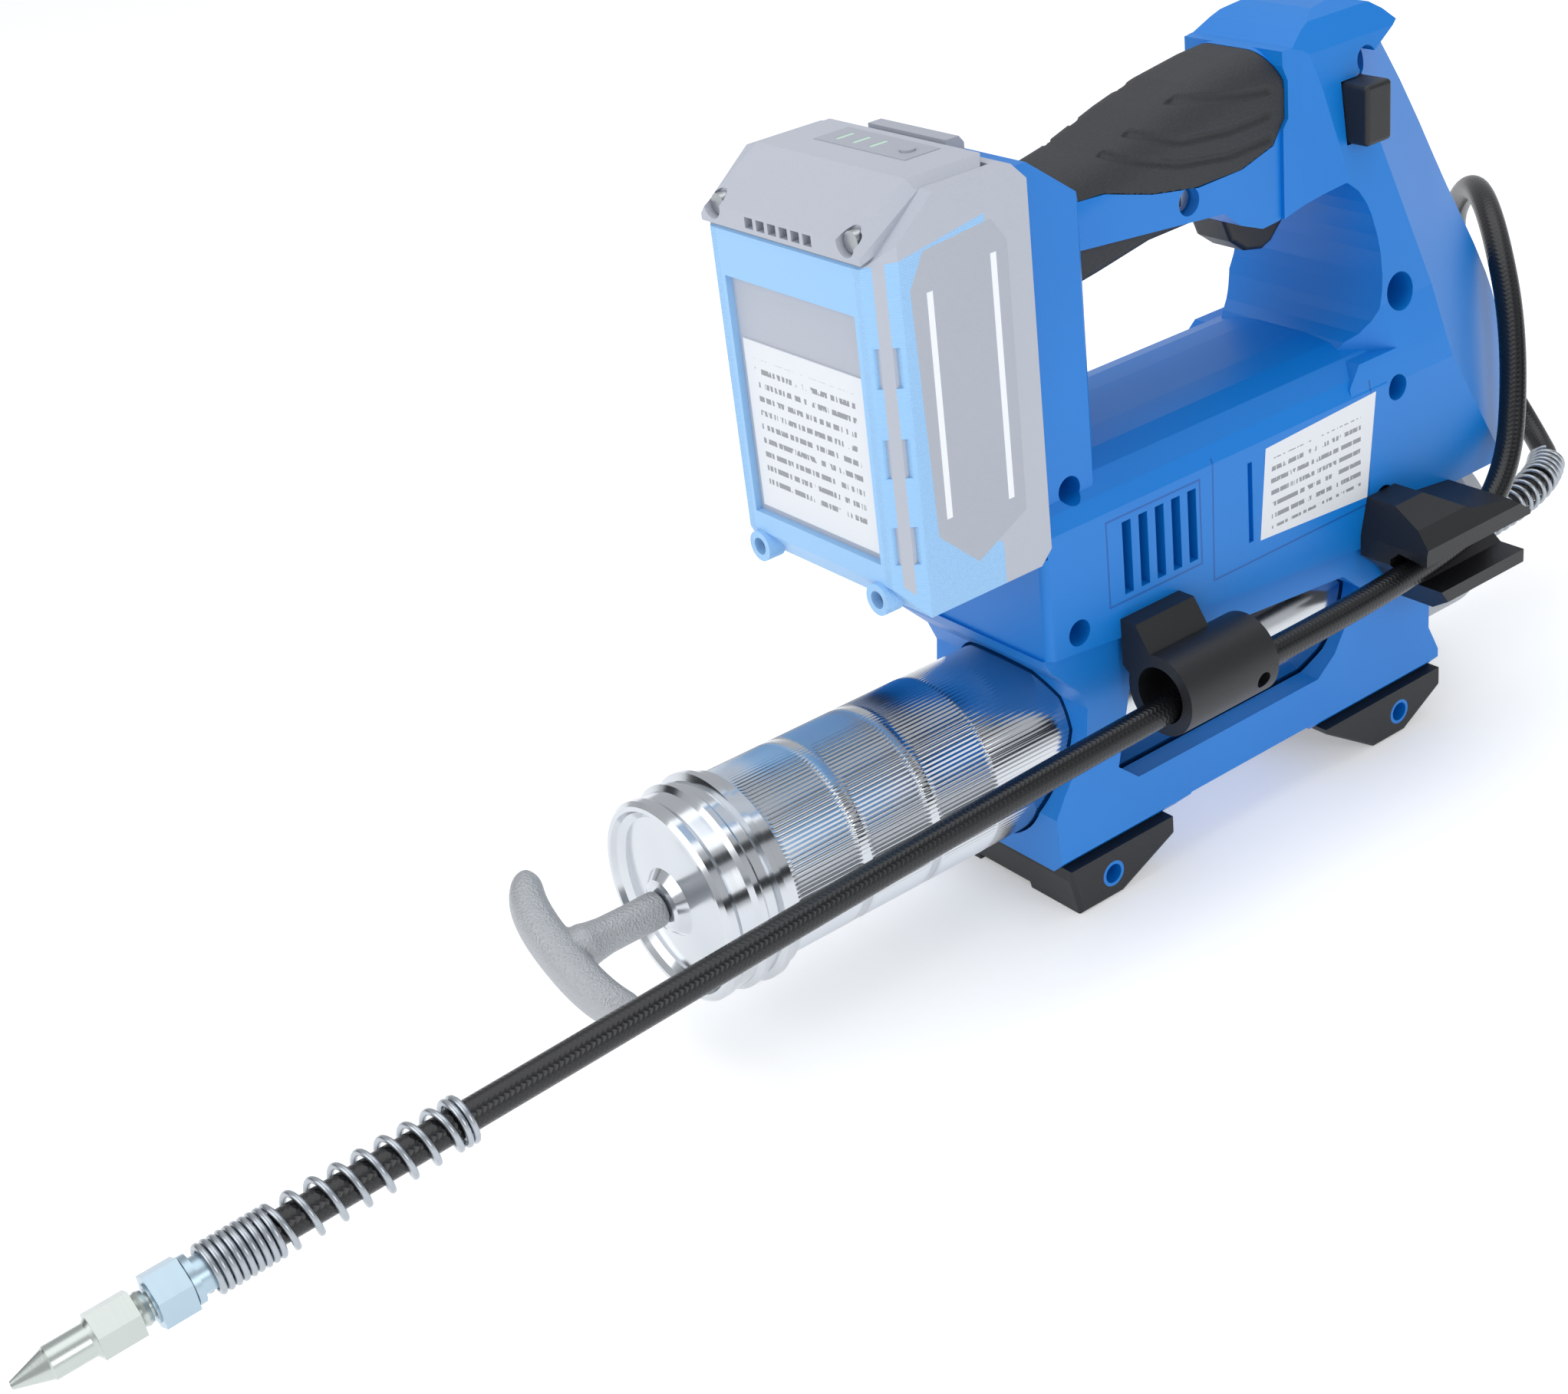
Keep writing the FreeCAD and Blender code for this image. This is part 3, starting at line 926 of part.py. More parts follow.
pack_profile = [
    ("pack_front", "pack_sole + 9"), ("pack_front", "pack_top - 16"), ("pack_front + 20", "pack_top"),
    ("pack_rear - 5", "pack_top"), ("pack_rear", "pack_top - 5"), ("pack_rear", "pack_sole + 4"),
    ("pack_rear - 4", "pack_sole"), ("pack_front + 7", "pack_sole")]
pack_outer = slab("pack_outer", "XZ_Plane", pack_profile, "2 * pack_half")
chamfered(pack_outer, "7", lambda e: rim(e, "Y") and near(e, x=size["pack_front"], within=0.5))
pack_slot = fuse(
    "pack_slot",
    box("slot_neck", ("body_front - 3", "pack_rear + 2"),
        ("-rail_half + 5 - slide_fit", "rail_half - 5 + slide_fit"), ("pack_sole - 5", "rail_high + slide_fit")),
    box("slot_head", ("body_front - 7 - slide_fit", "body_front - 2 + slide_fit"),
        ("-rail_half - slide_fit", "rail_half + slide_fit"), ("pack_sole - 5", "rail_high + slide_fit")))
panel_outline = [
    ("pack_front + 10", "pack_top - 23"), ("pack_front + 15", "pack_top - 14"), ("pack_front + 38", "pack_top - 12"),
    ("pack_front + 43", "pack_top - 19"), ("pack_front + 43", "pack_sole + 19"), ("pack_front + 25", "pack_sole + 10"),
    ("pack_front + 12", "pack_sole + 22")]
side_panels = doc.addObject("Part::Compound", "battery_side_panels")
side_panels.Links = [slab("side_panel_%d" % i, "XZ_Plane", panel_outline, 1.2, (0, y, 0))
                     for i, y in enumerate(("-pack_half + 0.6", "pack_half - 0.6"))]
name(side_panels, "battery_side_panels")
cover_zone = slab("cover_zone", "XZ_Plane", [
    ("pack_front - 5", "pack_top - 15.5"), ("pack_front + 43", "pack_top - 2.5"), ("pack_front + 43", "pack_top + 9"),
    ("pack_front - 5", "pack_top + 9")], "2 * pack_half - 10")
latch_pocket = box("latch_pocket", ("pack_rear - 7", "pack_rear + 1"), (-16.4, 16.4), ("pack_top - 16", "pack_top + 4"))
cells, cell_bores = [], []
for column in (13.0, 31.3):
    for level in range(5):
        spot = ("pack_front + %g" % column, "-cell_len / 2", "pack_sole + 13.5 + %g" % (18.9 * level))
        cells.append(rod("cell_%d_%d" % (column, level), "cell_dia / 2", "cell_len", spot, ALONG_Y))
        room = ("pack_front + %g" % column, "-cell_len / 2 - 1", spot[2])
        cell_bores.append(rod("cell_bore_%d_%d" % (column, level), "cell_dia / 2 + 0.12", "cell_len + 2", room, ALONG_Y))
battery_cells = doc.addObject("Part::Compound", "battery_cells")
battery_cells.Links = cells
name(battery_cells, "battery_cells")

shell_zone = slab("shell_zone", "XZ_Plane", [
    ("pack_front - 3", "pack_sole - 5"), ("pack_front + 34", "pack_sole - 5"), ("pack_front + 34", "pack_sole + 12"),
    ("pack_front + 22", "pack_sole + 24"), ("pack_front + 22", "pack_top - 30"), ("pack_front + 36", "pack_top - 17"),
    ("pack_front + 36", "pack_top - 10"), ("pack_front - 3", "pack_top - 16")], 100)
shell_inner = slab("shell_inner", "XZ_Plane", [
    ("pack_front + 2.2", "pack_sole + 9.6"), ("pack_front + 2.2", "pack_top - 10"), ("pack_rear + 5", "pack_top - 10"),
    ("pack_rear + 5", "pack_sole + 2.5"), ("pack_front + 8", "pack_sole + 2.5")], "2 * pack_half - 5")
front_window = box("front_window", ("pack_front - 3", "pack_front + 2.3"), (-28, 28), ("pack_sole + 15", "pack_top - 29"))
clip_windows = [box("clip_window_%d%d" % (i, j), ("pack_front - 1", "pack_front + 6"),
                    (low, high), ("pack_sole + %g" % z, "pack_sole + %g" % (z + 11)))
                for i, z in enumerate((16, 41, 66)) for j, (low, high) in
                enumerate((("-pack_half - 1", "-pack_half + 6"), ("pack_half - 6", "pack_half + 1")))]
shell_bosses = [rod("shell_boss_%d" % i, 4.6, 5.6, ("pack_front - 1.4", y, "pack_sole + 4.6"), ALONG_X)
                for i, y in enumerate((-26.5, 26.5))]
shell_holes = [rod("shell_hole_%d" % i, 2.6, 5, ("pack_front - 2", y, "pack_sole + 4.6"), ALONG_X)
               for i, y in enumerate((-26.5, 26.5))]
shell_trim = common("shell_trim", cut("shell_block", pack_outer, shell_inner), shell_zone)
battery_shell = cut("battery_shell", fuse("shell_with_bosses", shell_trim, *shell_bosses), front_window, side_panels,
                    cover_zone, *(clip_windows + shell_holes))
boss_rooms = [rod("boss_room_%d" % i, 4.6, 14.4, ("pack_front - 10", y, "pack_sole + 4.6"), ALONG_X)
              for i, y in enumerate((-26.5, 26.5))]
shell_solid = common("shell_solid", cut("shell_solid_block", pack_outer, shell_inner), shell_zone)
battery_core = cut("battery_core", pack_outer, shell_solid, side_panels, cover_zone, pack_slot, latch_pocket,
                   *(cell_bores + boss_rooms))

cover_block = slab("cover_block", "XZ_Plane", [
    ("pack_front - 1", "pack_top - 14.3"), ("pack_front - 1", "pack_top - 9"), ("pack_front + 18", "pack_top + 2.4"),
    ("pack_front + 43", "pack_top + 2.4"), ("pack_front + 43", "pack_top - 2.5")], "2 * pack_half - 10")
chamfered(cover_block, "3", lambda e: rim(e, "Y") and e.BoundBox.ZMax > size["pack_top"] + 2)
panel_room = box("panel_room", ("pack_front + 28", "pack_front + 40"), (-19, 19), ("pack_top + 1.4", "pack_top + 5"))
button_room = rod("button_room", 2.5, 4.5, ("pack_front + 34", -13, "pack_top - 1.1"))
cover_ears = [rod("cover_ear_room_%d" % i, 3.6, 6, ("pack_front - 2", y, "pack_top - 9.5"), ALONG_X)
              for i, y in enumerate((-28.5, 28.5))]
cover_vents = [box("cover_vent_%d" % i, ("pack_front - 2", "pack_front + 3"), (-14.5 + 5 * i, -11 + 5 * i),
                   ("pack_top - 13", "pack_top - 10")) for i in range(6)]
battery_cover = cut("battery_cover", cover_block, panel_room, button_room, *(cover_ears + cover_vents))
gauge_plate = box("gauge_plate", ("pack_front + 28", "pack_front + 40"), (-19, 19), ("pack_top + 1.4", "pack_top + 2.6"))
gauge_windows = [box("gauge_window_%d" % i, ("pack_front + 31", "pack_front + 37"), (y, y + 1.8),
                     ("pack_top + 1", "pack_top + 4")) for i, y in enumerate((-2, 5, 12))]
gauge_hole = rod("gauge_hole", 2.2, 6, ("pack_front + 34", -13, "pack_top"))
battery_gauge = cut("battery_gauge", gauge_plate, gauge_hole, *gauge_windows)
gauge_bars = doc.addObject("Part::Compound", "gauge_bars")
gauge_bars.Links = [box("gauge_bar_%d" % i, ("pack_front + 31", "pack_front + 37"), (y, y + 1.8),
                        ("pack_top + 1.4", "pack_top + 2.5")) for i, y in enumerate((-2, 5, 12))]
name(gauge_bars, "gauge_bars")
gauge_button = rod("gauge_button", 2.1, 3.0, ("pack_front + 34", -13, "pack_top + 0.2"))
battery_latch = slab("battery_latch", "XZ_Plane", [
    ("pack_rear - 6.6", "pack_top - 11"), ("pack_rear - 0.4", "pack_top - 11"), ("pack_rear - 0.4", "pack_top + 1"),
    ("pack_rear - 2", "pack_top + 3"), ("pack_rear - 6.6", "pack_top + 3")], 32)
latch_spring = upright_spring("latch_spring", 1.6, 0.6, 3.8, 3.5, ("pack_rear - 3.5", 0, "pack_top - 15.6"))
battery_label = box("battery_label", ("pack_front + 1.7", "pack_front + 2.2"), (-26, 26), ("pack_sole + 17", "pack_top - 47"))
battery_screws = doc.addObject("Part::Compound", "battery_screws")
battery_screws.Links = (
    [rod("cover_screw_%d" % i, 2.8, 3, ("pack_front + 1", y, "pack_top - 9.5"), ALONG_X)
     for i, y in enumerate((-28.5, 28.5))]
    + [rod("sole_screw_%d" % i, 2.5, 1.6, ("pack_front + 1.4", y, "pack_sole + 4.6"), ALONG_X)
       for i, y in enumerate((-26.5, 26.5))])
name(battery_screws, "battery_screws")

PARTS = [
    housing_left, housing_right, top_grip, under_grip, rating_label, housing_screws, trigger, trigger_switch,
    trigger_spring, lock_button, control_board, motor_can, motor_armature, drive_pinion, cooling_fan,
    reduction_gear, gear_bracket, pump_head, pump_plunger, check_valve_ball, check_valve_spring, barrel,
    barrel_cap, cap_gasket, follower_rod, t_handle, follower_cup, cup_washer, follower_spring, barrel_cradle,
    front_foot, rear_foot, foot_sleeves, hose_holder, rear_hose_clip, hose, outlet_guard, coupler_guard,
    outlet_fitting, hose_end_nut, nozzle, battery_rail, contact_blades, battery_shell, battery_core,
    battery_cells, side_panels, battery_cover, battery_gauge, gauge_bars, gauge_button, battery_latch,
    latch_spring, battery_label, battery_screws,
]
doc.recompute()
for obj in doc.Objects:
    if "Invalid" in obj.State or "Error" in obj.State:
        raise RuntimeError("failed object " + obj.Label)
for part in PARTS:
    if part.Shape.isNull() or not part.Shape.isValid():
        raise RuntimeError("bad shape " + part.Label)
for part in PARTS:
    part.Shape.exportStep("parts/%s.step" % part.Label)
    print("%-20s solids %d  volume %.0f" % (part.Label, len(part.Shape.Solids), part.Shape.Volume))
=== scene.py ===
# %% [markdown]
# # A cordless grease gun
# The moulded shells, tubes and castings come ready from the CAD frame. This notebook gives them their
# finishes, and rebuilds the pieces whose looks CAD leaves plain: the whip hose with its wire guards, the
# ribbed grease barrel, the cast pull bow, the rubber grip and the printed film on battery and body.

# %% Load the frame
import math
import bpy
from mathutils import Matrix, Vector


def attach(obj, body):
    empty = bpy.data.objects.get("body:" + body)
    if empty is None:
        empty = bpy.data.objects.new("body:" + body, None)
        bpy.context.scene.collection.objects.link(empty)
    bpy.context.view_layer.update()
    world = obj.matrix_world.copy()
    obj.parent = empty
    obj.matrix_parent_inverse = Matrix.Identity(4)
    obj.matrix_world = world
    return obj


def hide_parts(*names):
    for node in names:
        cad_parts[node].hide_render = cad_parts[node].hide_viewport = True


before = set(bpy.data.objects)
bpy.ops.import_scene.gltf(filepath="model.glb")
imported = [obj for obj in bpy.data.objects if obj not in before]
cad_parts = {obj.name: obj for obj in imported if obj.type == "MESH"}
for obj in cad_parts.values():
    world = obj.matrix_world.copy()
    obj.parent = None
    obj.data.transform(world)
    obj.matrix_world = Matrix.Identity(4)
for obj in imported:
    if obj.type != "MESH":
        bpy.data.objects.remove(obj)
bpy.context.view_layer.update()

MM = 0.001
scene = bpy.context.scene

# %% [markdown]
# The camera stands in front and to the left of the tool, above it, and looks down along the barrel.
# A camera's turn is easiest to write as three directions: where right, up and back point. The roll lays the
# tool across the frame, and the lens has no shift, so the tool stays in the middle from other sides too.

# %% Camera
AZIMUTH, ELEVATION, ROLL = math.radians(-33.71), math.radians(28.54), math.radians(-7.60)
back = Vector((math.sin(AZIMUTH) * math.cos(ELEVATION), -math.cos(AZIMUTH) * math.cos(ELEVATION),
               math.sin(ELEVATION)))
level_right = (-back).cross(Vector((0, 0, 1))).normalized()
level_up = level_right.cross(-back)
right = math.cos(ROLL) * level_right + math.sin(ROLL) * level_up
up = math.cos(ROLL) * level_up - math.sin(ROLL) * level_right
lens = bpy.data.cameras.new("camera")
lens.lens, lens.sensor_width = 54.12, 36.0
camera = bpy.data.objects.new("camera", lens)
turn = Matrix((right, up, back)).transposed().to_4x4()
camera.matrix_world = Matrix.Translation(Vector((-0.4787, -0.4840, 0.4123))) @ turn
scene.collection.objects.link(camera)
scene.camera = camera
print("camera", [round(v, 3) for v in camera.location])

# %% [markdown]
# A white floor with soft light from a large overhead panel gives the pale studio look. Two more panels, left
# and front, shape the barrel's highlights, and three dark cards, hidden from the camera itself, give the
# chrome something to mirror: chrome with only white around it looks like chalk.

# %% Floor and light
def light_card(name, size, at, look_at, strength):
    """A rectangle of light that the metal can mirror."""
    light = bpy.data.lights.new(name, "AREA")
    light.shape, light.size, light.size_y = "RECTANGLE", size[0], size[1]
    light.energy = strength
    card = bpy.data.objects.new(name, light)
    card.location = at
    card.rotation_euler = (Vector(look_at) - Vector(at)).to_track_quat("-Z", "Y").to_euler()
    scene.collection.objects.link(card)


def backdrop(name, corners, seen):
    """A flat sheet that isn't part of the tool: the floor, or a dark card that only mirrors show."""
    mesh = bpy.data.meshes.new(name)
    mesh.from_pydata(corners, [], [(0, 1, 2, 3)])
    sheet = bpy.data.objects.new(name, mesh)
    scene.collection.objects.link(sheet)
    sheet.visible_camera = seen
    return mesh


floor_mesh = backdrop("floor", [(-6, -6, 0), (6, -6, 0), (6, 6, 0), (-6, 6, 0)], True)
light_card("overhead", (1.6, 1.6), (0.1, 0.1, 1.6), (0, 0, 0.08), 9)
light_card("left_panel", (1.2, 1.0), (-1.5, 0.2, 0.9), (-0.05, 0, 0.1), 7)
light_card("front_panel", (1.0, 0.8), (-0.1, -1.6, 0.8), (0, 0, 0.1), 5)
DARK_CARDS = {
    "dark_card_right": [(0.75, -1.0, 0.24), (1.15, -0.45, 0.24), (1.15, -0.45, 0.62), (0.75, -1.0, 0.62)],
    "dark_card_left": [(-1.15, 0.55, 0.02), (-0.6, 1.05, 0.02), (-0.6, 1.05, 0.34), (-1.15, 0.55, 0.34)],
    "dark_card_top": [(0.1, -0.9, 1.0), (0.8, -0.9, 1.0), (0.8, -0.65, 1.1), (0.1, -0.65, 1.1)]}
card_meshes = [backdrop(name, corners, False) for name, corners in DARK_CARDS.items()]
world = bpy.data.worlds.new("studio")
world.use_nodes = True
world.node_tree.nodes["Background"].inputs["Color"].default_value = (0.95, 0.97, 1.0, 1)
world.node_tree.nodes["Background"].inputs["Strength"].default_value = 0.62
scene.world = world
scene.view_settings.view_transform = "Standard"

# %% [markdown]
# Every finish is a small node graph. Writing the maths as ordinary Python is easier to read than a list of
# links, so one class wraps a socket and turns +, -, * and > into Math nodes. Any other node comes from
# `node`, which takes its type, its settings and its socket values.

# %% Arithmetic on sockets
class Signal:
    """One output socket of a material, with Python's own arithmetic."""

    def __init__(self, paint, socket):
        self.paint, self.socket = paint, socket

    def calc(self, how, one, two):
        return self.paint.node("ShaderNodeMath", {"operation": how}, {0: one, 1: two})

    def __add__(self, other): return self.calc("ADD", self, other)
    def __radd__(self, other): return self.calc("ADD", other, self)
    def __sub__(self, other): return self.calc("SUBTRACT", self, other)
    def __rsub__(self, other): return self.calc("SUBTRACT", other, self)
    def __mul__(self, other): return self.calc("MULTIPLY", self, other)
    def __rmul__(self, other): return self.calc("MULTIPLY", other, self)
    def __gt__(self, other): return self.calc("GREATER_THAN", self, other)
    def low(self, other): return self.calc("MINIMUM", self, other)
    def high(self, other): return self.calc("MAXIMUM", self, other)
    def wave(self): return self.paint.node("ShaderNodeMath", {"operation": "SINE"}, {0: self})
    def size(self): return self.paint.node("ShaderNodeMath", {"operation": "ABSOLUTE"}, {0: self})


class Paint:
    """A material under construction, on one Principled shader."""

    def __init__(self, name):
        self.material = bpy.data.materials.new(name)
        self.material.use_nodes = True
        self.tree = self.material.node_tree
        self.shader = self.tree.nodes["Principled BSDF"]

    def node(self, kind, settings=None, sockets=None, out=0):
        made = self.tree.nodes.new(kind)
        for key, value in (settings or {}).items():
            if key == "stops":
                ramp = made.color_ramp
                while len(ramp.elements) < len(value):
                    ramp.elements.new(0.5)
                for stop, (at, grey) in zip(ramp.elements, value):
                    stop.position, stop.color = at, (grey, grey, grey, 1)
            else:
                setattr(made, key, value)
        for key, value in (sockets or {}).items():
            self.feed(made.inputs[key], value)
        return Signal(self, made.outputs[out])

    def feed(self, socket, value):
        if isinstance(value, Signal):
            self.tree.links.new(value.socket, socket)
        else:
            socket.default_value = value

    def place(self):
        """Where a point is on its piece, in metres, carried along when the piece moves."""
        return self.node("ShaderNodeTexCoord", out="Object")

    def noise(self, scale, detail=2.0, rough=0.5, where=None):
        return self.node("ShaderNodeTexNoise", {}, {"Vector": where or self.place(), "Scale": scale,
                                                    "Detail": detail, "Roughness": rough})

    def cells(self, scale):
        return self.node("ShaderNodeTexVoronoi", {}, {"Vector": self.place(), "Scale": scale})

    def axes(self, socket):
        """The three numbers of a vector."""
        return [self.node("ShaderNodeSeparateXYZ", {}, {0: socket}, out=i) for i in range(3)]

    def blend(self, share, one, two):
        return self.node("ShaderNodeMix", {"data_type": "RGBA"}, {0: share, 6: one, 7: two}, out=2)

    def finish(self, colour, rough, relief=None, depth=0.1, reach=0.0005, **fixed):
        """Connect what varies, and set what doesn't straight on the shader."""
        self.feed(self.shader.inputs["Base Color"], colour)
        self.feed(self.shader.inputs["Roughness"], rough)
        if relief is not None:
            bump = self.node("ShaderNodeBump", {}, {"Strength": depth, "Distance": reach, "Height": relief})
            self.feed(self.shader.inputs["Normal"], bump)
        for key, value in fixed.items():
            self.shader.inputs[key.replace("_", " ")].default_value = value
        return self.material


def shade(hex_text):
    """An sRGB colour such as 0084DC as the linear values that a shader wants."""
    def linear(value):
        return value / 12.92 if value <= 0.04045 else ((value + 0.055) / 1.055) ** 2.4
    return tuple(linear(int(hex_text[i:i + 2], 16) / 255) for i in (0, 2, 4)) + (1.0,)


paper = Paint("floor_paper")
floor_mesh.materials.append(paper.finish(shade("F4F5F6"), paper.noise(3.0) * 0.1 + 0.7,
                                         Emission_Color=shade("FFFFFF"), Emission_Strength=0.34))
card_paint = Paint("dark_card")
dark = card_paint.finish(card_paint.blend(card_paint.noise(2.0), shade("1A1B1D"), shade("232427")), 0.9)
for mesh in card_meshes:
    mesh.materials.append(dark)
print("blue shell is", [round(v, 3) for v in shade("0084DC")])

# %% [markdown]
# Most outer pieces are moulded nylon or rubber, satin, with a fine grain from a spark-eroded tool. A grain
# is made of two noises, one at the size of the pits and one much larger that lets the gloss drift a little,
# as it does where hands have polished the plastic. Rubber takes the same recipe with a coarser grain. The
# grip rubber also gets small pale dots painted into its colour as glints, which are painted highlights.

# %% Plastics and rubbers
def moulded(name, body, hint, rough, grain=2600.0, depth=0.18, drift=0.06, painted_glint_share=0.0, **fixed):
    paint = Paint(name)
    pits = paint.noise(grain, 3.0, 0.6)
    wide = paint.noise(14.0, 2.0)
    tint = paint.blend(wide.high(0.3).low(0.7), shade(body), shade(hint))
    # Small pale grey dots painted into the colour as glints: painted highlights on the rubber.
    if painted_glint_share:
        painted_glint_dots = paint.cells(2600.0) * -1.0 + 0.22
        tint = paint.blend((painted_glint_dots * (painted_glint_share * 6.0)).high(0.0).low(1.0), tint, shade("9A9DA2"))
    return paint.finish(tint, pits * drift + (wide * 0.10 + (rough - 0.08)), pits, depth, 0.0004, **fixed)


grip_rubber = moulded("grip_rubber", "2E3134", "26282B", 0.58, 1500.0, 0.55, 0.10, painted_glint_share=0.30)
black_plastic = moulded("black_plastic", "1D1E20", "161719", 0.42, 2600.0, 0.20)
foot_rubber = moulded("foot_rubber", "1F2023", "18191B", 0.52, 1800.0, 0.30)
seal_rubber = moulded("seal_rubber", "18191A", "101112", 0.60, 1500.0, 0.3)
pack_grey = moulded("pack_grey", "BCC0CB", "B2B7C2", 0.48, 2000.0, 0.25)
pack_dark = moulded("pack_dark", "ACB0BB", "A3A8B4", 0.42, 2200.0, 0.20)
cell_wrap = moulded("cell_wrap", "2F7F74", "2A746A", 0.25, 900.0, 0.05)
board_green = moulded("board_green", "1F5A34", "184A2A", 0.30, 600.0, 0.10)
gauge_glass = moulded("gauge_glass", "CBE8D6", "B9DCC8", 0.22, 600.0, 0.05)
print("moulded finishes", len(bpy.data.materials))

# %% [markdown]
# The blue housing has fine lines engraved in it: a frame round the vents, and one round the rating film.
# A frame is easy to write as a distance: how far a point is from the edge of a rectangle. Where that
# distance is under half a line's width, and only on the flat sides, the surface dips, and its colour is
# darkened there as painted shade in the groove.

# %% Blue shell with engraved frames
VENT_FRAME = (-0.0448, 0.1125, 0.0188, 0.0135, 0.0)      # middle x and z, half width and height, lean
FILM_FRAME = (0.0115, 0.1150, 0.0345, 0.0235, 0.02)
HALF_LINE, FLAT_SIDE = 0.00035, 0.0352


def engraved_shell(name):
    """Blue nylon with the lines that the mould engraves round the vents and the rating film, and shade painted
    into them.
    """
    paint = Paint(name)
    x, y, z = paint.axes(paint.place())

    def outline(across, up, wide, tall, lean):
        side = (x - across - z * lean).size() - wide
        edge = side.high((z - up).size() - tall).size()
        return 1.0 - (edge > HALF_LINE)

    grooves_with_painted_shade = outline(*VENT_FRAME).high(outline(*FILM_FRAME)) * (y.size() > FLAT_SIDE)
    pits = paint.noise(2300.0, 3.0, 0.6)
    wide = paint.noise(14.0, 2.0)
    tint = paint.blend(wide.high(0.3).low(0.7), shade("0080DA"), shade("0074CC"))
    # The grooves are darkened in the colour: painted shade, beside the real dip that the bump gives them.
    tint = paint.blend(grooves_with_painted_shade * 0.65, tint, shade("00499A"))
    return paint.finish(tint, pits * 0.06 + wide * 0.10 + 0.32, pits * 0.10 - grooves_with_painted_shade, 0.5, 0.0005)


blue_shell = engraved_shell("blue_shell")
print("engraved", blue_shell.name)

# %% [markdown]
# The battery's front shell is pale blue, with a diamond knurl moulded into its corners. Two waves that run
# across each other, multiplied, give a field of small pyramids, and a mask keeps it to the outer corners.

# %% Battery shell with knurled corners
KNURL, CORNER = 4200.0, 0.0295


def crosshatched(name):
    """Pale shell with a fine diamond knurl moulded into its corners."""
    paint = Paint(name)
    x, y, z = paint.axes(paint.place())
    run = y.size() - x
    diamonds = ((run + z) * KNURL).wave() * ((run - z) * KNURL).wave()
    corner = y.size() > CORNER
    pits = paint.noise(2000.0, 3.0, 0.6)
    wide = paint.noise(14.0, 2.0)
    tint = paint.blend(wide, shade("9FCDF6"), shade("97C6F2"))
    return paint.finish(tint, pits * 0.06 + wide * 0.10 + 0.38, pits * 0.3 + diamonds * corner, 0.35, 0.0004)


pack_blue = crosshatched("pack_blue")
print("knurled", pack_blue.name)

# %% [markdown]
# Metals differ in how they were made. Chrome is a mirror with the faintest ripple. Drawn and turned steel
# has fine marks along the turning, made here by squeezing the noise in one direction. Castings are grainy
# and sparkle. Zinc plate is a cool, slightly blue metal.

# %% Metals
def metal(name, body, rough, scale=(1.0, 1.0, 1.0), marks=500.0, depth=0.06, hint=None, grain=0.08):
    paint = Paint(name)
    where = paint.node("ShaderNodeMapping", {}, {"Vector": paint.place(), "Scale": scale})
    turned = paint.noise(marks, 3.0, 0.6, where)
    wide = paint.noise(30.0, 2.0)
    tint = paint.blend(wide, shade(body), shade(hint or body))
    return paint.finish(tint, turned * grain + (wide * 0.05 + rough), turned, depth, 0.0002, Metallic=1.0)


ALONG, ROUND_ABOUT = (0.05, 1.0, 1.0), (1.0, 0.05, 0.05)
chrome = metal("chrome", "D3D6D9", 0.10, ROUND_ABOUT, 900.0, 0.02, "C6CAD0", 0.05)
steel = metal("steel", "BFC2C5", 0.26, ROUND_ABOUT, 900.0, 0.05, "B0B4B8")
spring_wire = metal("spring_wire", "B9BEC4", 0.24, ALONG, 1200.0, 0.05, "A4AAB0")
zinc_plate = metal("zinc_plate", "B7C9D4", 0.26, ROUND_ABOUT, 1200.0, 0.06, "A2B8C6")
nozzle_steel = metal("nozzle_steel", "C4CAC6", 0.22, ROUND_ABOUT, 1400.0, 0.07, "B4BBB6")
brass = metal("brass", "C9A25A", 0.30, ALONG, 800.0, 0.05, "B58F4C")
cast_aluminium = metal("cast_aluminium", "B9BCC0", 0.42, (1, 1, 1), 900.0, 0.35, "A9ADB2", 0.15)


def cast_sparkle(name):
    """Bead-blasted casting: tiny facets, each tilted its own way."""
    paint = Paint(name)
    facets = paint.cells(1500.0)
    grain = paint.noise(1300.0, 3.0, 0.7)
    tint = paint.blend(grain, shade("A4A7AB"), shade("C0C2C5"))
    return paint.finish(tint, grain * 0.25 + 0.38, facets + grain * 0.8, 0.55, 0.0004, Metallic=0.75)


cast_handle = cast_sparkle("cast_handle")
print("metals", [m.name for m in bpy.data.materials][-8:])

# %% [markdown]
# Pieces made here are plain vertex and face lists. One helper turns them into an object, shades it smooth
# except at sharp edges, gives it a finish and lets it ride on the body that carries it.

# %% Making a piece
def sharpen(mesh, degrees):
    for face in mesh.polygons:
        face.use_smooth = True
    mesh.set_sharp_from_angle(angle=math.radians(degrees))


def piece(name, points, faces, finish, body, slot=None, degrees=35, replaces=()):
    mesh = bpy.data.meshes.new(name)
    mesh.from_pydata([tuple(p) for p in points], [], faces)
    mesh.update()
    made = bpy.data.objects.new(name, mesh)
    scene.collection.objects.link(made)
    sharpen(mesh, degrees)
    mesh.materials.append(finish)
    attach(made, body)
    if replaces:
        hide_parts(*replaces)
    return made


def strips(rows, across, closed_rows=False, first=0):
    """Quads between neighbouring rings of `across` points each."""
    faces = []
    for row in range(rows if closed_rows else rows - 1):
        here, there = first + row * across, first + (row + 1) % rows * across
        faces += [(here + i, there + i, there + (i + 1) % across, here + (i + 1) % across)
                  for i in range(across)]
    return faces


# %% [markdown]
# The whip hose is 0.81 m of high-pressure rubber hose. It leaves the pump head straight, folds over at the
# end of its wire guard, makes one loop behind the body and comes forward through the rear clip and the
# holder tube to the nozzle. Its centre line is a NURBS curve through a few control points, because a smooth
# spline bends the way a stiff hose does. A bevel on the curve would be quicker, but a mesh tube can carry
# its own running coordinates, and the cloth pattern needs them.

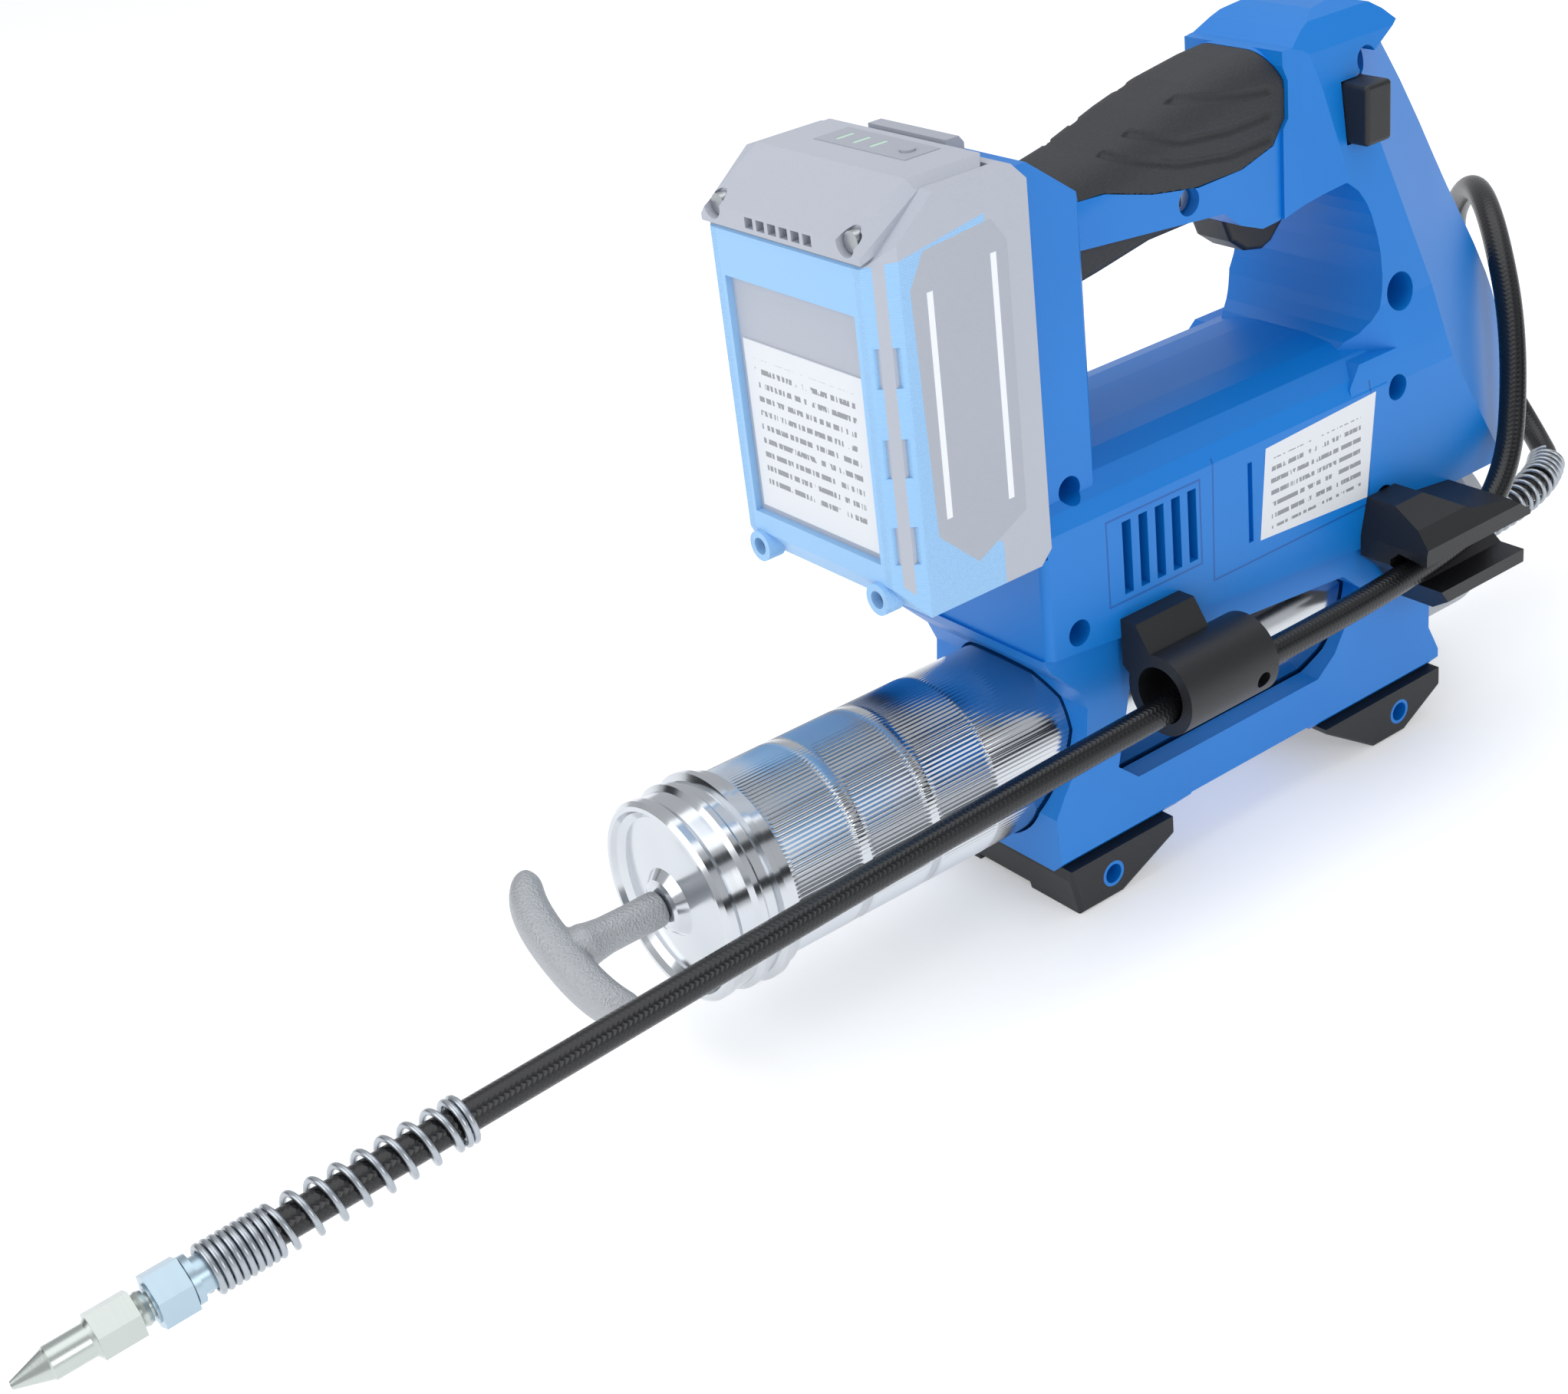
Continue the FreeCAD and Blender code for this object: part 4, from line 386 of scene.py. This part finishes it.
# %% Route of the hose
HOSE_OD, HOSE_LENGTH = 8.5 * MM, 0.814
ROUTE = [(138, 0, 36), (195, 0, 36), (213, 29, 47), (204, 45, 77), (192, 51, 124), (170, 24, 153),
         (146, -4, 152), (126, -30.5, 119.5), (97, -50.5, 78), (42, -53, 70.8), (-60, -53, 70.6),
         (-165, -53, 66.8), (-268, -53, 61.3), (-371, -53, 56.2)]
route = bpy.data.curves.new("hose_route", "CURVE")
route.dimensions = "3D"
spline = route.splines.new("NURBS")
spline.points.add(len(ROUTE) - 1)
for point, spot in zip(spline.points, ROUTE):
    point.co = (*(Vector(spot) * MM), 1.0)
spline.order_u = 3
spline.use_endpoint_u = True
route.resolution_u = 64
route_object = bpy.data.objects.new("hose_route", route)
scene.collection.objects.link(route_object)
bpy.context.view_layer.update()
line_mesh = bpy.data.meshes.new_from_object(route_object)
raw_line = [v.co.copy() for v in line_mesh.vertices]
bpy.data.objects.remove(route_object)


def evenly(line, step):
    """The same line with its points a fixed distance apart."""
    out, left = [line[0].copy()], step
    for one, two in zip(line, line[1:]):
        span, gone = (two - one).length, 0.0
        while span - gone >= left:
            gone += left
            out.append(one.lerp(two, gone / span))
            left = step
        left -= span - gone
    out.append(line[-1].copy())
    return out


def frames(line):
    """Heading and two sideways directions at each point, turned as little as possible."""
    side, out = Vector((0, 0, 1)), []
    for i, spot in enumerate(line):
        heading = (line[min(i + 1, len(line) - 1)] - line[max(i - 1, 0)]).normalized()
        side = (side - heading * side.dot(heading)).normalized()
        out.append((spot, heading, side, heading.cross(side)))
    return out


hose_line = evenly(raw_line, 1.0 * MM)
hose_frames = frames(hose_line)
hose_run = sum((b - a).length for a, b in zip(hose_line, hose_line[1:]))
print("hose length %.3f m" % hose_run)

# %% [markdown]
# The rubber was cured in a cloth wrap, which left its weave on the surface: short ribs across the hose,
# stepped half a rib from one row to the next. It is a pattern in the hose's own running coordinates, along
# and around, that only feeds the bump and the gloss.

# %% Hose
WEAVE_AROUND, WEAVE_PITCH = 12, 1.6 * MM


def tube_piece(name, line, radius, around, finish, body, **more):
    points, rings = [], frames(line)
    for spot, heading, side, other in rings:
        for j in range(around):
            a = 2 * math.pi * j / around
            points.append(spot + (side * math.cos(a) + other * math.sin(a)) * radius)
    faces = strips(len(rings), around)
    faces += [tuple(range(around)), tuple(reversed(range(len(points) - around, len(points))))]
    made = piece(name, points, faces, finish, body, **more)
    along = made.data.uv_layers.new(name="run")
    for face in made.data.polygons:
        for loop in face.loop_indices:
            ring, j = divmod(made.data.loops[loop].vertex_index, around)
            column = around if j == 0 and face.index % around == around - 1 else j
            along.data[loop].uv = (ring / len(rings), column / around)
    return made


def cloth_marked(name, length):
    paint = Paint(name)
    u, v, _ = paint.axes(paint.node("ShaderNodeUVMap", {"uv_map": "run"}))
    across = (v * (2 * math.pi * WEAVE_AROUND)).wave()
    ribs = (u * (2 * math.pi * length / WEAVE_PITCH) + across * 1.3).wave() * 0.5 + 0.5
    grain = paint.noise(1500.0, 2.0)
    wide = paint.noise(22.0, 2.0)
    tint = paint.blend(wide, shade("0E0F11"), shade("17181B"))
    return paint.finish(tint, wide * 0.08 + ribs * 0.06 + 0.20, ribs + grain * 0.3, 0.22, 0.00022)


hose_rubber = cloth_marked("hose_rubber", hose_run)
hose = tube_piece("whip_hose", hose_line, HOSE_OD / 2, 28, hose_rubber, "housing", slot="hose_rubber",
                  replaces=("hose",))
print("hose faces", len(hose.data.polygons))

# %% [markdown]
# Two wire guards keep the hose from kinking at its ends. Each is one round wire wound about the hose: the
# winding angle is a running sum, so the pitch can change along the way, open in the middle and close-wound
# where it is anchored.

# %% Wire guards
WIRE, GUARD_ID = 1.8 * MM, 10.2 * MM
OUTLET_SEAT, OUTLET_END = 9.6 * MM, 64 * MM                       # from the hose's first point
COUPLER_START, COUPLER_SEAT = hose_run - 71.6 * MM, hose_run - 1.2 * MM


def guard(name, start, end, steps, node):
    """Wire from start to end along the hose; steps are (share of the length, turns)."""
    step = 0.1 * MM
    fine = frames(evenly(raw_line, step))
    first, final = int(start / step), min(int(end / step), len(fine) - 1)
    lift, angle, last, wire = (GUARD_ID + WIRE) / 2, 0.0, -1.0, []
    for k in range(first, final):
        share, done = (k - first) / (final - first), 0.0
        for length, turns in steps:
            if share < done + length:
                break
            done += length
        angle += 2 * math.pi * turns / length / (final - first)
        if angle - last > 0.16:
            last = angle
            spot, heading, side, other = fine[k]
            wire.append(spot + (side * math.cos(angle) + other * math.sin(angle)) * lift)
    return tube_piece(name, wire, WIRE / 2, 12, spring_wire, "housing", slot="spring_wire", replaces=(node,))


outlet_guard = guard("outlet_wire_guard", OUTLET_SEAT, OUTLET_END,
                     ((0.05, 1.4), (0.71, 8.6), (0.24, 5.0)), "outlet_guard")
coupler_guard = guard("coupler_wire_guard", COUPLER_START, COUPLER_SEAT,
                      ((0.055, 2.0), (0.682, 7.5), (0.263, 9.5)), "coupler_guard")
print("guards", len(outlet_guard.data.polygons), len(coupler_guard.data.polygons))

# %% [markdown]
# The grease barrel is a chromed tube. Three bands of straight ribs, rolled into the wall, give a greasy
# hand something to grip when the barrel is unscrewed; narrow smooth rings part them. All of it is turned
# about one axis, so each station along the tube is a ring of points at its own radius. In a ribbed station
# three points of every four lie deeper, the middle one deepest.

# %% Barrel
AXIS_Z = 50 * MM
RIBS, RIB_DEPTH, RIB_PROFILE = 144, 0.42, (0.0, 0.7, 1.0, 0.7)
OUTSIDE, BORE, CROWN = 28.75, 27.15, 28.85                        # radii: tube, inside, ribbed bands
BANDS = ((-179.5, -155.2), (-152.6, -129.6), (-127.3, -104.2))


def in_band(x):
    return any(start + 0.5 < x < end - 0.5 for start, end in BANDS)


stations = [(-199.0, 28.0), (-198.2, OUTSIDE), (-180.4, OUTSIDE)]
for start, end in BANDS:
    stations += [(start, OUTSIDE), (start + 0.7, CROWN), (start + 2.0, CROWN), (end - 2.0, CROWN),
                 (end - 0.7, CROWN), (end, OUTSIDE)]
stations += [(-60.0, OUTSIDE), (0.0, OUTSIDE), (65.4, OUTSIDE), (66.0, 28.2), (66.0, BORE), (-199.0, BORE)]
around = RIBS * len(RIB_PROFILE)
barrel_points = []
for x, radius in stations:
    for j in range(around):
        a = 2 * math.pi * j / around
        r = radius - (RIB_DEPTH * RIB_PROFILE[j % len(RIB_PROFILE)] if in_band(x) else 0.0)
        barrel_points.append((x * MM, -r * math.sin(a) * MM, AXIS_Z + r * math.cos(a) * MM))
barrel = piece("ribbed_barrel", barrel_points, strips(len(stations), around, True), chrome, "barrel",
               slot="chromed_tube", degrees=28, replaces=("barrel",))
print("barrel faces", len(barrel.data.polygons))

# %% [markdown]
# The pull handle is one casting: a round shank that swells where it meets the bow, and a bow like an
# anchor's, thick in the middle and swept back at its ends so that two fingers can hook round it. Its skin
# is a row of rounded rings along the bow, and a second row along the shank. A voxel remesh melts the two
# into one skin, and a few rounds of smoothing give the soft fillet that a casting has.

# %% Rounded rings and their skin
def rounded_ring(centre, one, two, width, height, around=28, power=2.6):
    """A ring between a circle and a rounded square, spanned by two directions."""
    ring = []
    for j in range(around):
        a = 2 * math.pi * j / around
        c, s = math.cos(a), math.sin(a)
        ring.append(centre + one * math.copysign(abs(c) ** (2 / power), c) * width
                    + two * math.copysign(abs(s) ** (2 / power), s) * height)
    return ring


def skin(rings):
    """Vertices and faces of a closed tube through rings of equal count."""
    across = len(rings[0])
    points = [p for ring in rings for p in ring]
    faces = strips(len(rings), across)
    faces += [tuple(range(across)), tuple(reversed(range(len(points) - across, len(points))))]
    return points, faces


X, Y, Z = Vector((1, 0, 0)), Vector((0, 1, 0)), Vector((0, 0, 1))
print("directions", X[:], Y[:], Z[:])

# %% [markdown]
# The bow's middle line is a sine across and a power curve backwards, so its direction at any point is the
# slope of the two. The section fades to nothing at both ends, which rounds the tips.

# %% Pull handle
BOW_X, BOW_REACH, BOW_SWEEP, BOW_POWER = -239.4, 27.6, 9.2, 2.3
BOW_TURN = 0.94 * math.pi / 2
bow_rings = []
for k in range(33):
    t = -1 + k / 16
    x = BOW_X + BOW_SWEEP * abs(t) ** BOW_POWER
    y = BOW_REACH * math.sin(t * BOW_TURN)
    back_slope = math.copysign(BOW_SWEEP * BOW_POWER * abs(t) ** (BOW_POWER - 1), t)
    heading = Vector((back_slope, BOW_REACH * BOW_TURN * math.cos(t * BOW_TURN), 0)).normalized()
    out = heading.cross(Z)
    fade = math.sqrt(max(0.0, 1 - abs(t) ** 9))
    bow_rings.append(rounded_ring(Vector((x, y, 0)) * MM, out * MM, Z * MM, (5.6 - 1.3 * t * t) * fade + 0.05,
                                  (6.5 - 1.0 * t * t) * fade + 0.05))
shank_rings = []
for x, r in ((-238.0, 5.4), (-232.0, 6.6), (-229.0, 5.9), (-225.0, 5.4), (-215.0, 5.3), (-210.5, 5.4),
             (-207.8, 5.4), (-206.6, 5.1), (-206.3, 4.4)):
    shank_rings.append(rounded_ring(X * x * MM, Y * MM, Z * MM, r, r, power=2.0))
bow_points, bow_faces = skin(bow_rings)
shank_points, shank_faces = skin(shank_rings)
tilt = Matrix.Translation((0, 0, AXIS_Z)) @ Matrix.Rotation(math.radians(22), 4, "X")
handle_points = [tilt @ p for p in bow_points + shank_points]
handle_faces = bow_faces + [tuple(i + len(bow_points) for i in f) for f in shank_faces]
pull_handle = piece("cast_pull_handle", handle_points, handle_faces, cast_handle, "rod",
                    slot="cast_handle", replaces=("t_handle",))
melt = pull_handle.modifiers.new("melt", "REMESH")
melt.mode, melt.voxel_size, melt.use_smooth_shade = "VOXEL", 0.55 * MM, True
soften = pull_handle.modifiers.new("soften", "SMOOTH")
soften.factor, soften.iterations = 0.6, 8
print("handle rings", len(bow_rings) + len(shank_rings))

# %% [markdown]
# The soft grip is overmoulded on the handle, and three curved grooves run across each side where fingers
# lie. The CAD skin is copied, remeshed so that it has points to move, and every point near a groove line
# sinks along its own normal. The line is measured in the side view, so one rule serves both sides.

# %% Soft grip with grooves
grip_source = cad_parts["top_grip"]
grip = bpy.data.objects.new("soft_top_grip", grip_source.data.copy())
scene.collection.objects.link(grip)
remesh = grip.modifiers.new("even", "REMESH")
remesh.mode, remesh.voxel_size = "VOXEL", 0.6 * MM
bpy.context.view_layer.update()
dense = bpy.data.meshes.new_from_object(grip.evaluated_get(bpy.context.evaluated_depsgraph_get()))
bpy.data.objects.remove(grip)
GROOVE_HALF, GROOVE_DEPTH = 1.3, 0.9
GROOVES = [[(26, 224.5), (7, 227), (-12, 230), (-27, 236)],
           [(26, 217.5), (9, 217), (-10, 219), (-28, 225.5), (-41, 235)],
           [(26, 210.5), (9, 210), (-10, 212.5), (-31, 219), (-50, 230)]]


def groove_distance(x, z):
    """Distance in millimetres from a point of the side view to the nearest groove line."""
    best = 99.0
    for line in GROOVES:
        for (x0, z0), (x1, z1) in zip(line, line[1:]):
            dx, dz = x1 - x0, z1 - z0
            t = max(0.0, min(1.0, ((x - x0) * dx + (z - z0) * dz) / (dx * dx + dz * dz)))
            best = min(best, math.hypot(x - x0 - t * dx, z - z0 - t * dz))
    return best


for vertex, normal in zip(dense.vertices, [v.normal.copy() for v in dense.vertices]):
    if abs(normal.y) > 0.3:
        away = groove_distance(vertex.co.x / MM, vertex.co.z / MM)
        if away < GROOVE_HALF:
            vertex.co -= normal * (GROOVE_DEPTH * MM * (1 - (away / GROOVE_HALF) ** 2))
grip = bpy.data.objects.new("soft_top_grip", dense)
scene.collection.objects.link(grip)
dense.materials.clear()
dense.materials.append(grip_rubber)
sharpen(dense, 50)
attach(grip, "housing")
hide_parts("top_grip")
print("grip points", len(dense.vertices))

# %% [markdown]
# Rating film and battery sticker are printed plastic film. Their print here is rows of broken dashes that
# say nothing. It is drawn from the film's own coordinates, so it needs no picture.

# %% Printed film
def between(value, low, high):
    return (value > low) * (1.0 - (value > high))


def ruled_film(name, across, rows, wide, tall):
    """Pale film with rows of dashes inside a printed area; across picks the film's sideways axis."""
    paint = Paint(name)
    where = paint.place()
    axes = paint.axes(where)
    u, v = axes[across], axes[2]
    row = paint.node("ShaderNodeMath", {"operation": "FRACT"}, {0: v * rows})
    words = paint.noise(900.0, 1.0, 0.5, paint.node("ShaderNodeMapping", {}, {
        "Vector": where, "Scale": (1.0, 1.0, 0.12)}))
    ink = (row > 0.62) * (words > 0.47) * (between(u, *wide) * between(v, *tall))
    tint = paint.blend(ink * 0.75, shade("E4E7EC"), shade("5B5F66"))
    gloss = paint.noise(60.0, 2.0)
    return paint.finish(tint, gloss * 0.12 + 0.26, gloss, 0.05, 0.0002, Coat_Weight=0.2)


rating_film = ruled_film("rating_film", 0, 260.0, (0.004, 0.044), (0.099, 0.122))
sticker_film = ruled_film("sticker_film", 1, 240.0, (-0.022, 0.022), (0.146, 0.186))
print("films", rating_film.name, sticker_film.name)

# %% [markdown]
# The battery's side panels carry two upright white stripes, printed on. A stripe is a rectangle in the
# panel's own coordinates: one mask for its width times one for its height.

# %% Striped side panels
FRONT_STRIPE = (-0.1228, -0.1208), (0.1500, 0.2130)               # from and to, along and up
REAR_STRIPE = (-0.1010, -0.0990), (0.1480, 0.2170)


def striped_panel(name):
    paint = Paint(name)
    x, _, z = paint.axes(paint.place())
    front, rear = (between(x, *along) * between(z, *up) for along, up in (FRONT_STRIPE, REAR_STRIPE))
    stripe = front + rear
    pits = paint.noise(2000.0, 3.0, 0.6)
    wide = paint.noise(16.0, 2.0)
    base = paint.blend(wide, shade("B3B8C2"), shade("AAAFBA"))
    tint = paint.blend(stripe, base, shade("F1F4F8"))
    return paint.finish(tint, pits * 0.06 + 0.40, pits, 0.25, 0.0004)


side_stripes = striped_panel("side_stripes")
print("panels", side_stripes.name)

# %% [markdown]
# The CAD pieces that keep their own shape get their finish here. A moulded or cast edge is never a knife
# edge: on the pieces listed in ROUNDED, a small bevel on every sharp edge catches the light as a thin line,
# which is most of what makes a plain solid look like a real moulding.

# %% Finishes on the CAD pieces
FINISHES = {
    blue_shell: "housing_left housing_right barrel_cradle foot_sleeves",
    grip_rubber: "under_grip",
    rating_film: "rating_label",
    sticker_film: "battery_label",
    steel: "housing_screws trigger_spring motor_can motor_armature drive_pinion reduction_gear pump_plunger "
           "check_valve_ball check_valve_spring follower_rod cup_washer follower_spring "
           "latch_spring battery_screws",
    black_plastic: "trigger trigger_switch lock_button cooling_fan hose_holder rear_hose_clip battery_rail",
    board_green: "control_board",
    cast_aluminium: "gear_bracket pump_head",
    chrome: "barrel_cap",
    seal_rubber: "cap_gasket follower_cup",
    foot_rubber: "front_foot rear_foot",
    zinc_plate: "outlet_fitting hose_end_nut",
    nozzle_steel: "nozzle",
    brass: "contact_blades",
    pack_blue: "battery_shell",
    side_stripes: "battery_side_panels",
    pack_grey: "battery_core battery_cover",
    cell_wrap: "battery_cells",
    pack_dark: "battery_gauge gauge_button battery_latch",
    gauge_glass: "gauge_bars",
}
ROUNDED = {"housing_left": 0.7, "housing_right": 0.7, "barrel_cradle": 0.7, "trigger": 0.5, "lock_button": 0.3,
           "hose_holder": 0.5, "rear_hose_clip": 0.5, "front_foot": 0.8, "rear_foot": 0.8, "battery_shell": 0.6,
           "battery_core": 0.6, "battery_cover": 0.5, "battery_side_panels": 0.2, "battery_latch": 0.4,
           "pump_head": 0.4, "outlet_fitting": 0.3, "hose_end_nut": 0.3, "nozzle": 0.2, "barrel_cap": 0.3}
for finish, names in FINISHES.items():
    for node_name in names.split():
        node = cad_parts[node_name]
        node.data.materials.clear()
        node.data.materials.append(finish)
        sharpen(node.data, 40 if node_name in ("housing_left", "housing_right") else 32)
        if node_name in ROUNDED:
            bevel = node.modifiers.new("soft_edges", "BEVEL")
            bevel.width, bevel.segments = ROUNDED[node_name] * MM, 2
            bevel.limit_method, bevel.angle_limit = "ANGLE", math.radians(34)
            bevel.harden_normals = True
dressed = {n for names in FINISHES.values() for n in names.split()}
rebuilt = {"hose", "outlet_guard", "coupler_guard", "barrel", "t_handle", "top_grip"}
bare = set(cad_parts) - dressed - rebuilt
print("dressed", len(dressed), "left without a finish", sorted(bare))
